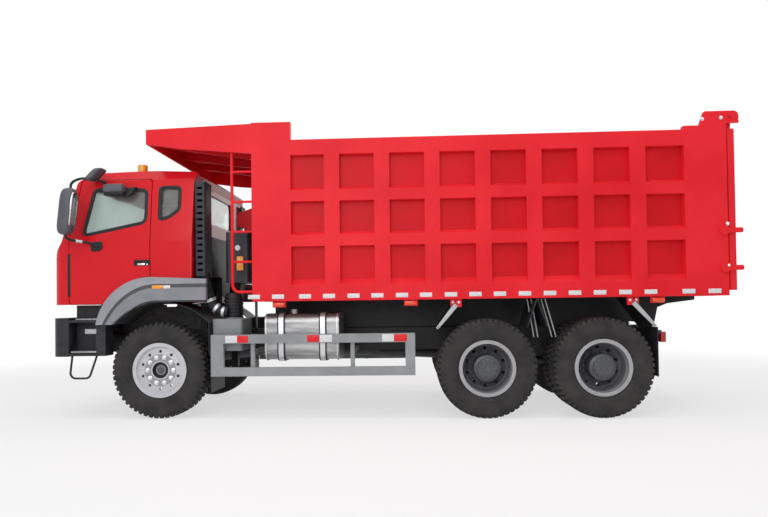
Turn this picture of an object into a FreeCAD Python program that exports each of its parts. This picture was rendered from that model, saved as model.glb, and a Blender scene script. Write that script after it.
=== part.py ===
import FreeCAD, Part
import math
import os

# A three-axle dump truck: cab over the engine, ribbed steel bed with a guard over the cab,
# tailgate hung at its top edge, and a telescopic hoist that stands behind the cab.
# Frame while modelling: x runs rearwards from the front axle, y to the truck's right, z up from
# the ground, all in millimetres. Every piece is moved along x as it is written, so that the
# origin lies under the middle of the whole truck.

# Driving dimensions of the whole truck
FRONT_WHEELBASE = 4125.0
REAR_AXLE_GAP = 1400.0
FIRST_REAR_X = FRONT_WHEELBASE
LAST_REAR_X = FRONT_WHEELBASE + REAR_AXLE_GAP
FRONT_OVERHANG = 1386.0
TYRE_RADIUS = 613.0
TYRE_WIDTH = 315.0
FRONT_TRACK = 2036.0
REAR_OUTER_TRACK = 2195.0
TWIN_SPACING = 345.0
CUT_OVERRUN = 40.0
SEAT_GAP = 0.3
MOVING_GAP = 8.0
SHAFT_GAP = 0.4

# Chassis frame
RAIL_HALF_SPACING = 430.0
RAIL_FLANGE = 85.0
RAIL_HEIGHT = 300.0
RAIL_PLATE = 12.0
RAIL_TOP = 1100.0
RAIL_FRONT = 1130.0
RAIL_TAIL = 880.0
RAIL_REAR = LAST_REAR_X + RAIL_TAIL
CROSS_TUBE_RADIUS = 55.0
CROSS_FRONT = -1000.0
CROSS_FIRST = 1330.0
CROSS_AXLE_CLEAR = 725.0
CROSS_COUNT = 4
END_BEAM_DEPTH = 90.0
END_BEAM_HEIGHT = 240.0

# Bed hinge at the frame's tail
HINGE_TAIL = 815.0
HINGE_X = LAST_REAR_X + HINGE_TAIL
HINGE_Z = 1160.0
HINGE_SHAFT_RADIUS = 35.0
HINGE_BOSS_RADIUS = 68.0
HINGE_PLATE = 24.0
HINGE_EAR = 40.0
BED_TIP_LIMIT = 45.0

# Tow points
TOW_BORE_RADIUS = 20.0
TOW_PLATE = 25.0
TOW_JAW_GAP = 70.0
TOW_JAW_HALF_WIDTH = 75.0
TOW_JAW_REACH = 130.0
TOW_NOSE_SHARE = 0.8
REAR_TOW_Z = 900.0
FRONT_TOW_Z = 900.0

# Bumper and steps
BUMPER_HALF_WIDTH = 1200.0
BUMPER_TOP = 1290.0
BUMPER_BOTTOM = 800.0
BUMPER_RAKE = 26.0
BUMPER_DEPTH = 210.0
BUMPER_SIDE_THICK = 90.0
BUMPER_SIDE_REAR = 690.0
BUMPER_CORNER = 140.0
STEP_FRONT = 1150.0
STEP_DEPTH = 190.0
STEP_PLATE = 30.0
STEP_REAR = 790.0
STEP_CHEEK_REAR = 670.0
LOWER_STEP_Z = 836.0
UPPER_STEP_Z = 1262.0
STEP_BACK_THICK = 12.0
LOOP_RADIUS = 13.0
LOOP_BOTTOM = 520.0
LOOP_TOP_REAR = 800.0
LOOP_LOW_FRONT = 1160.0
LOOP_LOW_REAR = 905.0
LOOP_BEND = 70.0
LAMP_WIDTH = 330.0
LAMP_HEIGHT = 170.0
LAMP_DEPTH = 70.0
LAMP_Z = 1040.0
LAMP_MIDDLE_Y = 930.0

# Cab
CAB_HALF_WIDTH = 1175.0
CAB_ROOF_HALF_WIDTH = 1085.0
CAB_BOTTOM = 1459.0
CAB_NOSE_Z = 1937.0
CAB_BROW_Z = 2143.0
CAB_BELT_Z = 2262.0
SCREEN_TOP_Z = 3050.0
ROOF_FRONT_RISE = 120.0
ROOF_FRONT_Z = SCREEN_TOP_Z + ROOF_FRONT_RISE
ROOF_MIDDLE_RISE = 142.0
ROOF_MIDDLE_Z = SCREEN_TOP_Z + ROOF_MIDDLE_RISE
ROOF_REAR_RISE = 110.0
ROOF_REAR_Z = SCREEN_TOP_Z + ROOF_REAR_RISE
CAB_REAR_TOP_DROP = 20.0
CAB_REAR_TOP_Z = SCREEN_TOP_Z - CAB_REAR_TOP_DROP
CAB_NOSE_BACKSET = 26.0
CAB_BROW_BACKSET = 55.0
SCREEN_BASE_BACKSET = 134.0
SCREEN_TOP_BACKSET = 305.0
ROOF_FRONT_BACKSET = 545.0
ROOF_MIDDLE_X = -150.0
ROOF_REAR_X = 480.0
CAB_REAR_X = 430.0
CAB_CORNER = 150.0
CAB_REAR_CORNER = 66.0
CAB_WALL = 60.0
CAB_ROOF_ROUND = 90.0
ROOF_REAR_ROUND = 30.0
ROOF_FRONT_ROUND = 120.0
SCREEN_TOP_ROUND = 110.0
SCREEN_BASE_ROUND = 90.0
BROW_ROUND = 60.0
NOSE_ROUND = 80.0
BELT_ROUND = 150.0
ROOF_SIDE_ROUND = 80.0
ROOF_EDGE_ROUND = 40.0
CAB_TUNNEL_HALF_WIDTH = 420.0
CAB_TUNNEL_TOP = 1760.0
CAB_TUNNEL_FRONT = 700.0

# Cab door
DOOR_FRONT_X = -1150.0
HINGE_BARREL_LENGTH = 90.0
HINGE_BARREL_PLACES = (1590.0, 2080.0)
DOOR_TOP_FRONT_X = -1020.0
DOOR_TOP_RISE = 12.0
DOOR_TOP_Z = SCREEN_TOP_Z + DOOR_TOP_RISE
DOOR_UPPER_HEIGHT = DOOR_TOP_Z - CAB_BELT_Z
DOOR_REAR_X = -105.0
DOOR_GAP = 10.0
DOOR_CORNER = 45.0
DOOR_LIMIT = 65.0
WINDOW_SILL_SHARE = 0.095
WINDOW_REAR_SILL_SHARE = 0.2975
WINDOW_HEAD_SHARE = 0.1525
WINDOW_REAR_HEAD_SHARE = 0.171
WINDOW_LOW_FRONT = (-975.0, CAB_BELT_Z + WINDOW_SILL_SHARE * DOOR_UPPER_HEIGHT)
WINDOW_LOW_REAR = (-165.0, CAB_BELT_Z + WINDOW_REAR_SILL_SHARE * DOOR_UPPER_HEIGHT)
WINDOW_TOP_REAR = (-165.0, DOOR_TOP_Z - WINDOW_REAR_HEAD_SHARE * DOOR_UPPER_HEIGHT)
WINDOW_TOP_FRONT = (-850.0, DOOR_TOP_Z - WINDOW_HEAD_SHARE * DOOR_UPPER_HEIGHT)
WINDOW_ROUND = 55.0
QUARTER_FRONT_X = 10.0
QUARTER_REAR_X = 268.0
QUARTER_HEAD_SHARE = 0.14
QUARTER_SILL_SHARE = 0.3325
QUARTER_CUT_SHARE = 0.4975
QUARTER_TOP_Z = DOOR_TOP_Z - QUARTER_HEAD_SHARE * DOOR_UPPER_HEIGHT
QUARTER_BOTTOM_Z = CAB_BELT_Z + QUARTER_SILL_SHARE * DOOR_UPPER_HEIGHT
QUARTER_CUT_Z = CAB_BELT_Z + QUARTER_CUT_SHARE * DOOR_UPPER_HEIGHT
QUARTER_CUT_X = 130.0
QUARTER_ROUND = 40.0
GLASS_THICK = 8.0
GLASS_INSET = 12.0
SCREEN_SIDE_MARGIN = 130.0
SCREEN_LOW_MARGIN = 55.0
SCREEN_TOP_MARGIN = 60.0
REAR_WINDOW_HALF_WIDTH = 520.0
REAR_WINDOW_SILL_SHARE = 0.388
REAR_WINDOW_HEAD_SHARE = 0.091
REAR_WINDOW_BOTTOM = CAB_BELT_Z + REAR_WINDOW_SILL_SHARE * (CAB_REAR_TOP_Z - CAB_BELT_Z)
REAR_WINDOW_TOP = CAB_REAR_TOP_Z - REAR_WINDOW_HEAD_SHARE * (CAB_REAR_TOP_Z - CAB_BELT_Z)
REAR_WINDOW_ROUND = 70.0

# Front service flap
FLAP_HALF_WIDTH = 900.0
FLAP_BOTTOM = 1500.0
FLAP_TOP = 2130.0
FLAP_THICK = 45.0
FLAP_GAP = 10.0
FLAP_LIMIT = 75.0
FLAP_ROUND = 60.0

# Wheel arch trim and front mudguard
ARCH_OUT = 1238.0
ARCH_OUTER_TOP = 1797.0
ARCH_OUTER_TOP_X = -67.0
ARCH_OUTER_RADIUS = 725.0
ARCH_INNER_TOP = 1480.0
ARCH_INNER_TOP_X = 46.0
ARCH_INNER_RADIUS = 826.0
ARCH_FOOT_Z = 1200.0
ARCH_REAR_X = 636.0
ARCH_REAR_TOP = 1765.0
GUARD_PLATE = 8.0
GUARD_INNER_Y = 640.0
GUARD_REAR_X = 655.0
GUARD_FLAP_BOTTOM = 330.0
GUARD_KICK = 25.0
GUARD_KICK_TOP = 845.0
GUARD_KICK_LOW = 800.0

# Cab inside
SEAT_WIDTH = 500.0
SEAT_DEPTH = 480.0
SEAT_MIDDLE_Y = 620.0
SEAT_BACK_X = 130.0
SEAT_HEIGHT_Z = 2080.0
SEAT_CUSHION = 130.0
SEAT_BACK_TOP = 2760.0
SEAT_BACK_THICK = 130.0
HEADREST_WIDTH = 280.0
SEAT_LEG_WIDTH = 340.0
DASH_DEPTH = 330.0
DASH_TOP = 2240.0
DASH_BOTTOM = 1900.0
DASH_ROUND = 70.0
STEERING_WHEEL_RADIUS = 225.0
STEERING_RIM_RADIUS = 17.0
STEERING_WHEEL_X = -640.0
STEERING_WHEEL_Z = 2330.0
STEERING_TILT = 35.0
STEERING_COLUMN_RADIUS = 32.0

# Power train
ENGINE_FRONT = 870.0
ENGINE_REAR = 470.0
ENGINE_HALF_WIDTH = 330.0
ENGINE_BOTTOM = 720.0
ENGINE_TOP = 1420.0
GEARBOX_RADIUS = 225.0
GEARBOX_LENGTH = 760.0
SHAFT_RADIUS = 60.0
DIFF_RADIUS = 215.0
DIFF_HALF_LENGTH = 150.0
AXLE_TUBE_RADIUS = 88.0
SPINDLE_RADIUS = 55.0

# Front axle and knuckles
KING_PIN_Y = 880.0
KING_PIN_RADIUS = 24.0
KING_BOSS_RADIUS = 55.0
KING_BOSS_HALF_HEIGHT = 70.0
BEAM_HALF_HEIGHT = 55.0
BEAM_HALF_WIDTH = 48.0
BEAM_DROP = 130.0
BEAM_DROP_Y = 560.0
BEAM_FLAT = 110.0
KNUCKLE_ARM_THICK = 36.0
KNUCKLE_BLOCK_FROM = 938.0
KNUCKLE_BLOCK_TO = 968.0
KNUCKLE_HALF_WIDTH = 60.0
STEER_LIMIT = 35.0

# Leaf springs
SPRING_HALF_WIDTH = 45.0
FRONT_SPRING_HALF_LENGTH = 800.0
SPRING_LEAF = 18.0
FRONT_SPRING_LEAVES = 4
REAR_SPRING_LEAVES = 6
SPRING_STEP_SHARE = 0.14
REAR_SPRING_Y = 500.0

# Wheels
BEAD_RADIUS = 318.0
BEAD_HALF_WIDTH = 116.0
RIM_FLANGE_RADIUS = 348.0
RIM_EDGE = 12.0
RIM_PLATE = 14.0
RIM_WELL_RADIUS = 288.0
SHOULDER_RADIUS = 585.0
SHOULDER_HALF_WIDTH = 150.0
SIDEWALL_RADIUS = 470.0
TREAD_CROWN_HALF_WIDTH = 110.0
FRONT_DISC_OUT = 100.0
HUB_HOLE_RADIUS = 92.0
NUT_CIRCLE_RADIUS = 167.5
NUT_COUNT = 10
NUT_RADIUS = 19.0
NUT_HEIGHT = 26.0
HAND_HOLE_RADIUS = 20.0
HAND_HOLE_CIRCLE = 238.0
DISC_PLATE = 18.0
HUB_CAP_RADIUS = 62.0
HUB_CAP_OUT = 78.0
DRUM_RADIUS = 205.0
DRUM_WALL = 15.0
DRUM_LENGTH = 140.0
PLANET_HUB_RADIUS = 160.0
PLANET_HUB_OUT = 95.0
PLANET_CAP_RADIUS = 118.0
PLANET_CAP_OUT = 135.0

# Fuel tank and air filter on the left
TANK_FRONT = 1350.0
TANK_REAR = 2292.0
TANK_TOP = 1310.0
TANK_BOTTOM = 730.0
TANK_OUTER_Y = 1130.0
TANK_INNER_Y = 500.0
TANK_ROUND = 110.0
STRAP_WIDTH = 90.0
STRAP_THICK = 7.0
STRAP_SHARES = (0.225, 0.785)
FILLER_RADIUS = 50.0
FILLER_HEIGHT = 55.0
FILLER_SHARE = 0.36
FILLER_Y = 900.0
FILTER_FRONT = 664.0
FILTER_REAR = 1053.0
FILTER_TOP = 1255.0
FILTER_BOTTOM = 850.0
FILTER_OUTER_Y = 1100.0
FILTER_INNER_Y = 600.0
FILTER_ROUND = 40.0
DOME_X = 875.0
DOME_RADIUS = 125.0
DOME_TOP = 1587.0
DOME_RIB_HEIGHT = 10.0
DOME_RIBS = 6

# Side guards
GUARD_OUTER_Y = 1215.0
GUARD_FRONT = 687.0
GUARD_TYRE_CLEAR = 267.0
GUARD_REAR = FIRST_REAR_X - TYRE_RADIUS - GUARD_TYRE_CLEAR
GUARD_TOP = 1058.0
GUARD_BOTTOM = 538.0
GUARD_RAIL = 110.0
GUARD_FRONT_POST = 160.0
GUARD_REAR_POST = 120.0
GUARD_TUBE_DEPTH = 50.0
GUARD_BRACKET = 50.0
GUARD_BRACKET_SHARES = (0.193, 0.685, 0.9765)
GUARD_BRACKET_PLACES = [GUARD_FRONT + share * (GUARD_REAR - GUARD_FRONT) for share in GUARD_BRACKET_SHARES]

# Right side of the chassis
BATTERY_FRONT = 700.0
BATTERY_REAR = 1160.0
BATTERY_TOP = 1240.0
BATTERY_BOTTOM = 780.0
BATTERY_OUTER_Y = 1100.0
BATTERY_INNER_Y = 520.0
BATTERY_ROUND = 30.0
SILENCER_FRONT_SHARE = 0.22
SILENCER_REAR_SHARE = 0.605
SILENCER_FRONT = BATTERY_REAR + SILENCER_FRONT_SHARE * (GUARD_REAR - BATTERY_REAR)
SILENCER_REAR = BATTERY_REAR + SILENCER_REAR_SHARE * (GUARD_REAR - BATTERY_REAR)
SILENCER_RADIUS = 210.0
SILENCER_Y = 780.0
SILENCER_Z = 1000.0
AIR_TANK_RADIUS = 130.0
AIR_TANK_FRONT_SHARE = 0.672
AIR_TANK_REAR_SHARE = 0.969
AIR_TANK_FRONT = BATTERY_REAR + AIR_TANK_FRONT_SHARE * (GUARD_REAR - BATTERY_REAR)
AIR_TANK_REAR = BATTERY_REAR + AIR_TANK_REAR_SHARE * (GUARD_REAR - BATTERY_REAR)
AIR_TANK_Y = 640.0
AIR_TANK_Z = 950.0

# Behind the cab
STACK_FRONT = 452.0
STACK_REAR = 600.0
STACK_TOP = 3010.0
STACK_BOTTOM = 1803.0
STACK_OUTER_Y = 1120.0
STACK_INNER_Y = 860.0
STACK_WALL = 12.0
STACK_ROUND = 30.0
STACK_SLOTS = 14
STACK_SLOT_HEIGHT = 30.0
STACK_SLOT_LENGTH = 70.0
OIL_TANK_FRONT = 800.0
OIL_TANK_REAR = 1120.0
OIL_TANK_OUTER_Y = 960.0
OIL_TANK_INNER_Y = 330.0
OIL_TANK_TOP = 2380.0
OIL_TANK_BOTTOM = 1720.0
OIL_TANK_ROUND = 50.0
OIL_STAND_THICK = 12.0
CAB_MOUNT_X = 330.0
CAB_MOUNT_HALF_WIDTH = 45.0
BEACON_X = -310.0
BEACON_Y = 900.0
BEACON_RADIUS = 62.0
BEACON_HEIGHT = 95.0

# Mudflaps and tail lamps
MUDFLAP_TYRE_CLEAR = 34.0
MUDFLAP_X = LAST_REAR_X + TYRE_RADIUS + MUDFLAP_TYRE_CLEAR
MUDFLAP_THICK = 10.0
MUDFLAP_TOP = 1100.0
MUDFLAP_BOTTOM = 500.0
MUDFLAP_OUTER_Y = 1215.0
MUDFLAP_INNER_Y = 620.0
MUDFLAP_BAR = 40.0
TAIL_LAMP_WIDTH = 380.0
TAIL_LAMP_HEIGHT = 130.0
TAIL_LAMP_DEPTH = 60.0
TAIL_LAMP_Z = 960.0
TAIL_LAMP_Y = 700.0

# Bed
BED_HALF_WIDTH = 1250.0
BED_FRONT = 1230.0
BED_BOTTOM = 1470.0
BED_FLOOR_TOP = 1590.0
BED_FLOOR_THICK = 20.0
BED_RAIL_TOP = 3480.0
BED_RAIL_HEIGHT = 190.0
BED_PLATE = 14.0
RIB_DEPTH = 80.0
FRONT_POST_WIDTH = 492.0
FRONT_POST_REAR = BED_FRONT + FRONT_POST_WIDTH
FRONT_POST_TOP = 3705.0
REAR_POST_WIDTH = 501.0
BED_TAIL = 1490.0
REAR_POST_TOP = 3525.0
REAR_POST_REAR = LAST_REAR_X + BED_TAIL
REAR_POST_FRONT = REAR_POST_REAR - REAR_POST_WIDTH
LOWER_BAND_TOP = 1740.0
LOWER_LEDGE_RISE = 80.0
POST_COUNT = 7
POST_WIDTH = 190.0
FIRST_BAY = 420.0
LAST_BAY = 456.0
POST_FIRST = FRONT_POST_REAR + FIRST_BAY
POST_LAST = REAR_POST_FRONT - LAST_BAY - POST_WIDTH
MID_RAIL_LOW_Z = 2150.0
MID_RAIL_HIGH_Z = 2710.0
MID_RAIL_HEIGHT = 142.0
LEDGE_RISE = 40.0

# Guard over the cab, carried by the bed
CANOPY_ROOF_CLEAR = 128.0
CANOPY_TIP_X = -110.0
CANOPY_ROOT_HEIGHT = 373.0
CANOPY_TIP_RISE = 147.0
CANOPY_TIP_HEIGHT = 185.0
CANOPY_BREAK_RISE = 80.0
CANOPY_ROOT_LOW = ROOF_MIDDLE_Z + CANOPY_ROOF_CLEAR
CANOPY_BREAK_X = 347.0
CANOPY_ROOT_TOP = CANOPY_ROOT_LOW + CANOPY_ROOT_HEIGHT
CANOPY_TIP_LOW = CANOPY_ROOT_LOW + CANOPY_TIP_RISE
CANOPY_TIP_TOP = CANOPY_TIP_LOW + CANOPY_TIP_HEIGHT
CANOPY_BREAK_Z = CANOPY_ROOT_LOW + CANOPY_BREAK_RISE
CANOPY_PLATE = 25.0

# Ladder
LADDER_FRONT = 969.0
LADDER_TUBE = 19.0
LADDER_BOTTOM = 1593.0
LADDER_TOP = 3481.0
LADDER_BEND = 90.0
LADDER_Y = 1200.0
LADDER_RUNGS = 4

# Bed frame under the floor
SLEEPER_BOTTOM = 1112.0
SLEEPER_HALF_SPACING = 430.0
SLEEPER_WIDTH = 85.0
SLEEPER_FRONT = 1330.0
BEARER_WIDTH = 90.0
BEARER_PITCH = 560.0
EAR_FOOT_HALF_WIDTH = 160.0

# Rear mudguards carried by the bed
MUD_PLATE = 8.0
MUD_OUTER_Y = 1215.0
MUD_INNER_Y = 610.0
MUD_FRONT_TOP_LEAD = 371.0
MUD_FRONT_TOP_X = FIRST_REAR_X - MUD_FRONT_TOP_LEAD
MUD_FRONT_LOW_LEAD = 609.0
MUD_FRONT_LOW_X = FIRST_REAR_X - MUD_FRONT_LOW_LEAD
MUD_MIDDLE_LEAD = 83.0
MUD_MIDDLE_X = (FIRST_REAR_X + LAST_REAR_X) / 2.0 - MUD_MIDDLE_LEAD
MUD_MIDDLE_SPREAD = 127.0
MUD_REAR_TOP_LAG = 363.0
MUD_REAR_TOP_X = LAST_REAR_X + MUD_REAR_TOP_LAG
MUD_REAR_LOW_LAG = 619.0
MUD_REAR_LOW_X = LAST_REAR_X + MUD_REAR_LOW_LAG
MUD_LOW_Z = 1110.0

# Tailgate
GATE_GAP = 15.0
GATE_FRONT = REAR_POST_REAR + GATE_GAP
GATE_BOTTOM = 1535.0
GATE_TOP = 3475.0
GATE_HINGE_LAG = 45.0
GATE_HINGE_X = REAR_POST_REAR + GATE_HINGE_LAG
GATE_HINGE_Z = 3600.0
GATE_PIN_RADIUS = 28.0
GATE_LIMIT = 60.0
GATE_RIB_DEPTH = 50.0
GATE_PANEL = 25.0
GATE_RIBS = 4
GATE_HANGER_Y = 1120.0
GATE_HANGER_THICK = 40.0
HINGE_PLATE_LEAD = 319.0
HINGE_PLATE_FRONT = REAR_POST_REAR - HINGE_PLATE_LEAD
HINGE_PLATE_LAG = 149.0
HINGE_PLATE_REAR = REAR_POST_REAR + HINGE_PLATE_LAG
HINGE_PLATE_LOW = 3548.0
HINGE_PLATE_TOP = 3694.0
HINGE_PLATE_THICK = 30.0
HOOK_PIN_LEAD = 50.0
HOOK_PIN_X = REAR_POST_REAR - HOOK_PIN_LEAD
HOOK_REACH = 162.0
HOOK_END_X = REAR_POST_REAR + HOOK_REACH
HOOK_PLACES = (2252.0, 1803.0)
HOOK_BOSS_RADIUS = 55.0
HOOK_THICK = 30.0
HOOK_ARM_HEIGHT = 60.0

# Telescopic hoist behind the cab
HOIST_EYE_FORWARD = 430.0
HOIST_EYE_Z = 2660.0
HOIST_BASE_Z = 1210.0
HOIST_BARREL_RADIUS = 96.0
HOIST_WALL = 12.0
HOIST_SLIP = 0.6
HOIST_STAGES = 4
HOIST_BARREL_BACKSET = 45.0
HOIST_COLLAR = 30.0
HOIST_EYE_RADIUS = 60.0
HOIST_EYE_HALF_WIDTH = 40.0
HOIST_EAR_THICK = 30.0
HOIST_EAR_RADIUS = 85.0
HOIST_STAND_HALF_WIDTH = 120.0
TRUNNION_RADIUS = 32.0
TRUNNION_PLATE = 40.0

# Mirrors
MIRROR_X = -1090.0
MIRROR_INNER_Y = 1290.0
MIRROR_OUTER_Y = 1520.0
MIRROR_BOTTOM = 2370.0
MIRROR_TOP = 3010.0
MIRROR_DEPTH = 110.0
MIRROR_ROUND = 50.0
MIRROR_ARM_RADIUS = 17.0
MIRROR_ARM_LOW_Z = 2230.0
MIRROR_ARM_HIGH_Z = 3045.0
MIRROR_FOOT_X = -905.0
MIRROR_FOOT_Z = 2175.0
MIRROR_FOOT_THICK = 45.0

FRONT_AXLE_X = 0.0
REAR_AXLES = (FIRST_REAR_X, LAST_REAR_X)
AXLE_Z = TYRE_RADIUS
ORIGIN_SHIFT = (FRONT_OVERHANG - max(HOOK_END_X, HINGE_PLATE_REAR)) / 2.0
WHEEL_FRONT_Y = FRONT_TRACK / 2.0
WHEEL_REAR_Y = REAR_OUTER_TRACK / 2.0
TWIN_INNER_Y = WHEEL_REAR_Y - TWIN_SPACING


def vec(x, y, z):
    return FreeCAD.Vector(x, y, z)


X_WAY = vec(1, 0, 0)
Y_WAY = vec(0, 1, 0)
Z_WAY = vec(0, 0, 1)


def block(x_low, x_high, y_low, y_high, z_low, z_high):
    return Part.makeBox(x_high - x_low, y_high - y_low, z_high - z_low, vec(x_low, y_low, z_low))


def rod(start, end, radius):
    way = end.sub(start)
    return Part.makeCylinder(radius, way.Length, start, way)


def outline(points, radii, place):
    """Closed outline with each corner rounded by its radius, as straight and round edges."""
    count = len(points)
    if not isinstance(radii, (list, tuple)):
        radii = [radii] * count
    ends = []
    arcs = []
    for index in range(count):
        here = FreeCAD.Vector(points[index][0], points[index][1], 0)
        before = FreeCAD.Vector(points[index - 1][0], points[index - 1][1], 0).sub(here)
        after = FreeCAD.Vector(points[(index + 1) % count][0], points[(index + 1) % count][1],
                               0).sub(here)
        before.normalize()
        after.normalize()
        half_turn = before.getAngle(after) / 2.0
        radius = radii[index]
        if radius <= 0 or half_turn > math.radians(89.5):
            ends.append((here, here))
            arcs.append(None)
            continue
        reach = radius / math.tan(half_turn)
        centre_way = before.add(after)
        centre_way.normalize()
        middle = here.add(centre_way.multiply(radius / math.sin(half_turn) - radius))
        ends.append((here.add(before.multiply(reach)), here.add(after.multiply(reach))))
        arcs.append(middle)
    edges = []
    for index in range(count):
        if arcs[index] is not None:
            edges.append(Part.Arc(place(ends[index][0]), place(arcs[index]),
                                  place(ends[index][1])).toShape())
        start = ends[index][1]
        end = ends[(index + 1) % count][0]
        if start.sub(end).Length > 0.001:
            edges.append(Part.LineSegment(place(start), place(end)).toShape())
    return Part.Wire(edges)


def side_slab(points, radii, y_low, y_high):
    """Outline in x and z, carried along y."""
    wire = outline(points, radii, lambda p: vec(p.x, y_low, p.y))
    return Part.Face(wire).extrude(vec(0, y_high - y_low, 0))


def front_slab(points, radii, x_low, x_high):
    """Outline in y and z, carried along x."""
    wire = outline(points, radii, lambda p: vec(x_low, p.x, p.y))
    return Part.Face(wire).extrude(vec(x_high - x_low, 0, 0))


def top_slab(points, radii, z_low, z_high):
    """Outline in x and y, carried along z."""
    wire = outline(points, radii, lambda p: vec(p.x, p.y, z_low))
    return Part.Face(wire).extrude(vec(0, 0, z_high - z_low))


def rectangle(low_a, high_a, low_b, high_b):
    return [(low_a, low_b), (high_a, low_b), (high_a, high_b), (low_a, high_b)]


def turned(points, x, z, side):
    """Profile of radius and distance from the truck's middle, turned about a line along y."""
    wire = Part.makePolygon([vec(x + r, side * y, z) for r, y in points + points[:1]])
    return Part.Face(wire).revolve(vec(x, 0, z), Y_WAY, 360)


def bent_tube(points, bend, radius):
    """Round tube of straight runs, joined by a quarter-ring or less at each bend."""
    pieces = []
    start = points[0]
    for index in range(1, len(points) - 1):
        here = points[index]
        before = points[index - 1].sub(here)
        after = points[index + 1].sub(here)
        before.normalize()
        after.normalize()
        half_turn = before.getAngle(after) / 2.0
        reach = bend / math.tan(half_turn)
        inwards = before.add(after)
        inwards.normalize()
        centre = here.add(inwards.multiply(bend / math.sin(half_turn)))
        arc_start = here.add(vec(before.x, before.y, before.z).multiply(reach))
        arc_end = here.add(vec(after.x, after.y, after.z).multiply(reach))
        axis = before.cross(after).multiply(-1)
        ring = Part.Face(Part.Wire([Part.Circle(arc_start, before, radius).toShape()]))
        pieces.append(rod(start, arc_start, radius))
        pieces.append(ring.revolve(centre, axis, 180.0 - math.degrees(half_turn * 2.0)))
        start = arc_end
    pieces.append(rod(start, points[-1], radius))
    return pieces[0].multiFuse(pieces[1:])


def other_side(shape):
    return shape.mirror(vec(0, 0, 0), Y_WAY)


def joined(shapes):
    result = shapes[0]
    if len(shapes) > 1:
        result = shapes[0].multiFuse(shapes[1:])
    return result.removeSplitter()


def write(name, shapes):
    if not isinstance(shapes, list):
        shapes = [shapes]
    solids = []
    for shape in shapes:
        solids.extend(shape.Solids)
    piece = solids[0] if len(solids) == 1 else Part.makeCompound(solids)
    piece = piece.copy()
    piece.translate(vec(ORIGIN_SHIFT, 0, 0))
    piece.exportStep("parts/" + name + ".step")


# Chassis frame: two channel rails that open inwards, round cross tubes, an end beam with the tow
# jaw, and plates that hold the bed's hinge shaft above the rails.
def frame_rails():
    low = RAIL_TOP - RAIL_HEIGHT
    inner = RAIL_HALF_SPACING - RAIL_FLANGE
    rail = block(-RAIL_FRONT, RAIL_REAR, inner, RAIL_HALF_SPACING, low, RAIL_TOP)
    hollow = block(-RAIL_FRONT - CUT_OVERRUN, RAIL_REAR + CUT_OVERRUN, inner - CUT_OVERRUN,
                   RAIL_HALF_SPACING - RAIL_PLATE, low + RAIL_PLATE, RAIL_TOP - RAIL_PLATE)
    rail = rail.cut(hollow)
    pieces = [rail, other_side(rail)]
    web = RAIL_HALF_SPACING - RAIL_PLATE / 2.0
    middle_z = RAIL_TOP - RAIL_HEIGHT / 2.0
    last = FIRST_REAR_X - CROSS_AXLE_CLEAR
    places = [CROSS_FIRST + (last - CROSS_FIRST) * index / (CROSS_COUNT - 1) for index in range(CROSS_COUNT)]
    for place in [CROSS_FRONT] + places + [(FIRST_REAR_X + LAST_REAR_X) / 2.0]:
        pieces.append(rod(vec(place, -web, middle_z), vec(place, web, middle_z), CROSS_TUBE_RADIUS))
    beam_top = middle_z + END_BEAM_HEIGHT / 2.0
    beam_low = middle_z - END_BEAM_HEIGHT / 2.0
    pieces.append(block(RAIL_REAR - END_BEAM_DEPTH, RAIL_REAR, -web, web, beam_low, beam_top))
    pieces.append(hinge_shaft())
    pieces.append(tow_jaw())
    pieces.extend(hoist_stand())
    return joined(pieces)


def hinge_shaft():
    reach = RAIL_HALF_SPACING + HINGE_PLATE + SHAFT_GAP + HINGE_EAR + HINGE_PLATE
    shaft = rod(vec(HINGE_X, -reach, HINGE_Z), vec(HINGE_X, reach, HINGE_Z), HINGE_SHAFT_RADIUS)
    foot_low = RAIL_TOP - RAIL_HEIGHT / 2.0
    side = [(HINGE_X - HINGE_BOSS_RADIUS, foot_low), (HINGE_X + HINGE_BOSS_RADIUS, foot_low),
            (HINGE_X + HINGE_BOSS_RADIUS, HINGE_Z + HINGE_BOSS_RADIUS),
            (HINGE_X - HINGE_BOSS_RADIUS, HINGE_Z + HINGE_BOSS_RADIUS)]
    rounds = [0, 0, HINGE_BOSS_RADIUS * 0.9, HINGE_BOSS_RADIUS * 0.9]
    plate = side_slab(side, rounds, RAIL_HALF_SPACING, RAIL_HALF_SPACING + HINGE_PLATE)
    return joined([shaft, plate, other_side(plate)])


def tow_jaw():
    """Two plates with one upright bore, behind the end beam."""
    end = RAIL_REAR + TOW_JAW_REACH
    hole_x = end - TOW_JAW_HALF_WIDTH
    gap = TOW_JAW_GAP / 2.0
    nose = TOW_JAW_HALF_WIDTH * TOW_NOSE_SHARE
    plan = rectangle(RAIL_REAR, end, -TOW_JAW_HALF_WIDTH, TOW_JAW_HALF_WIDTH)
    lower = top_slab(plan, [0, nose, nose, 0], REAR_TOW_Z - gap - TOW_PLATE, REAR_TOW_Z - gap)
    upper = top_slab(plan, [0, nose, nose, 0], REAR_TOW_Z + gap, REAR_TOW_Z + gap + TOW_PLATE)
    reach = gap + TOW_PLATE + CUT_OVERRUN
    hole = rod(vec(hole_x, 0, REAR_TOW_Z - reach), vec(hole_x, 0, REAR_TOW_Z + reach), TOW_BORE_RADIUS)
    return joined([lower, upper]).cut(hole)


def hoist_points():
    """Base pin and eye of the hoist: both are equally far from the bed hinge, so the cylinder
    leans by half of the bed's angle."""
    eye_x = BED_FRONT - HOIST_EYE_FORWARD
    reach = math.hypot(HINGE_X - eye_x, HOIST_EYE_Z - HINGE_Z)
    base_x = HINGE_X - math.sqrt(reach ** 2 - (HINGE_Z - HOIST_BASE_Z) ** 2)
    return base_x, eye_x, reach


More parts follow.
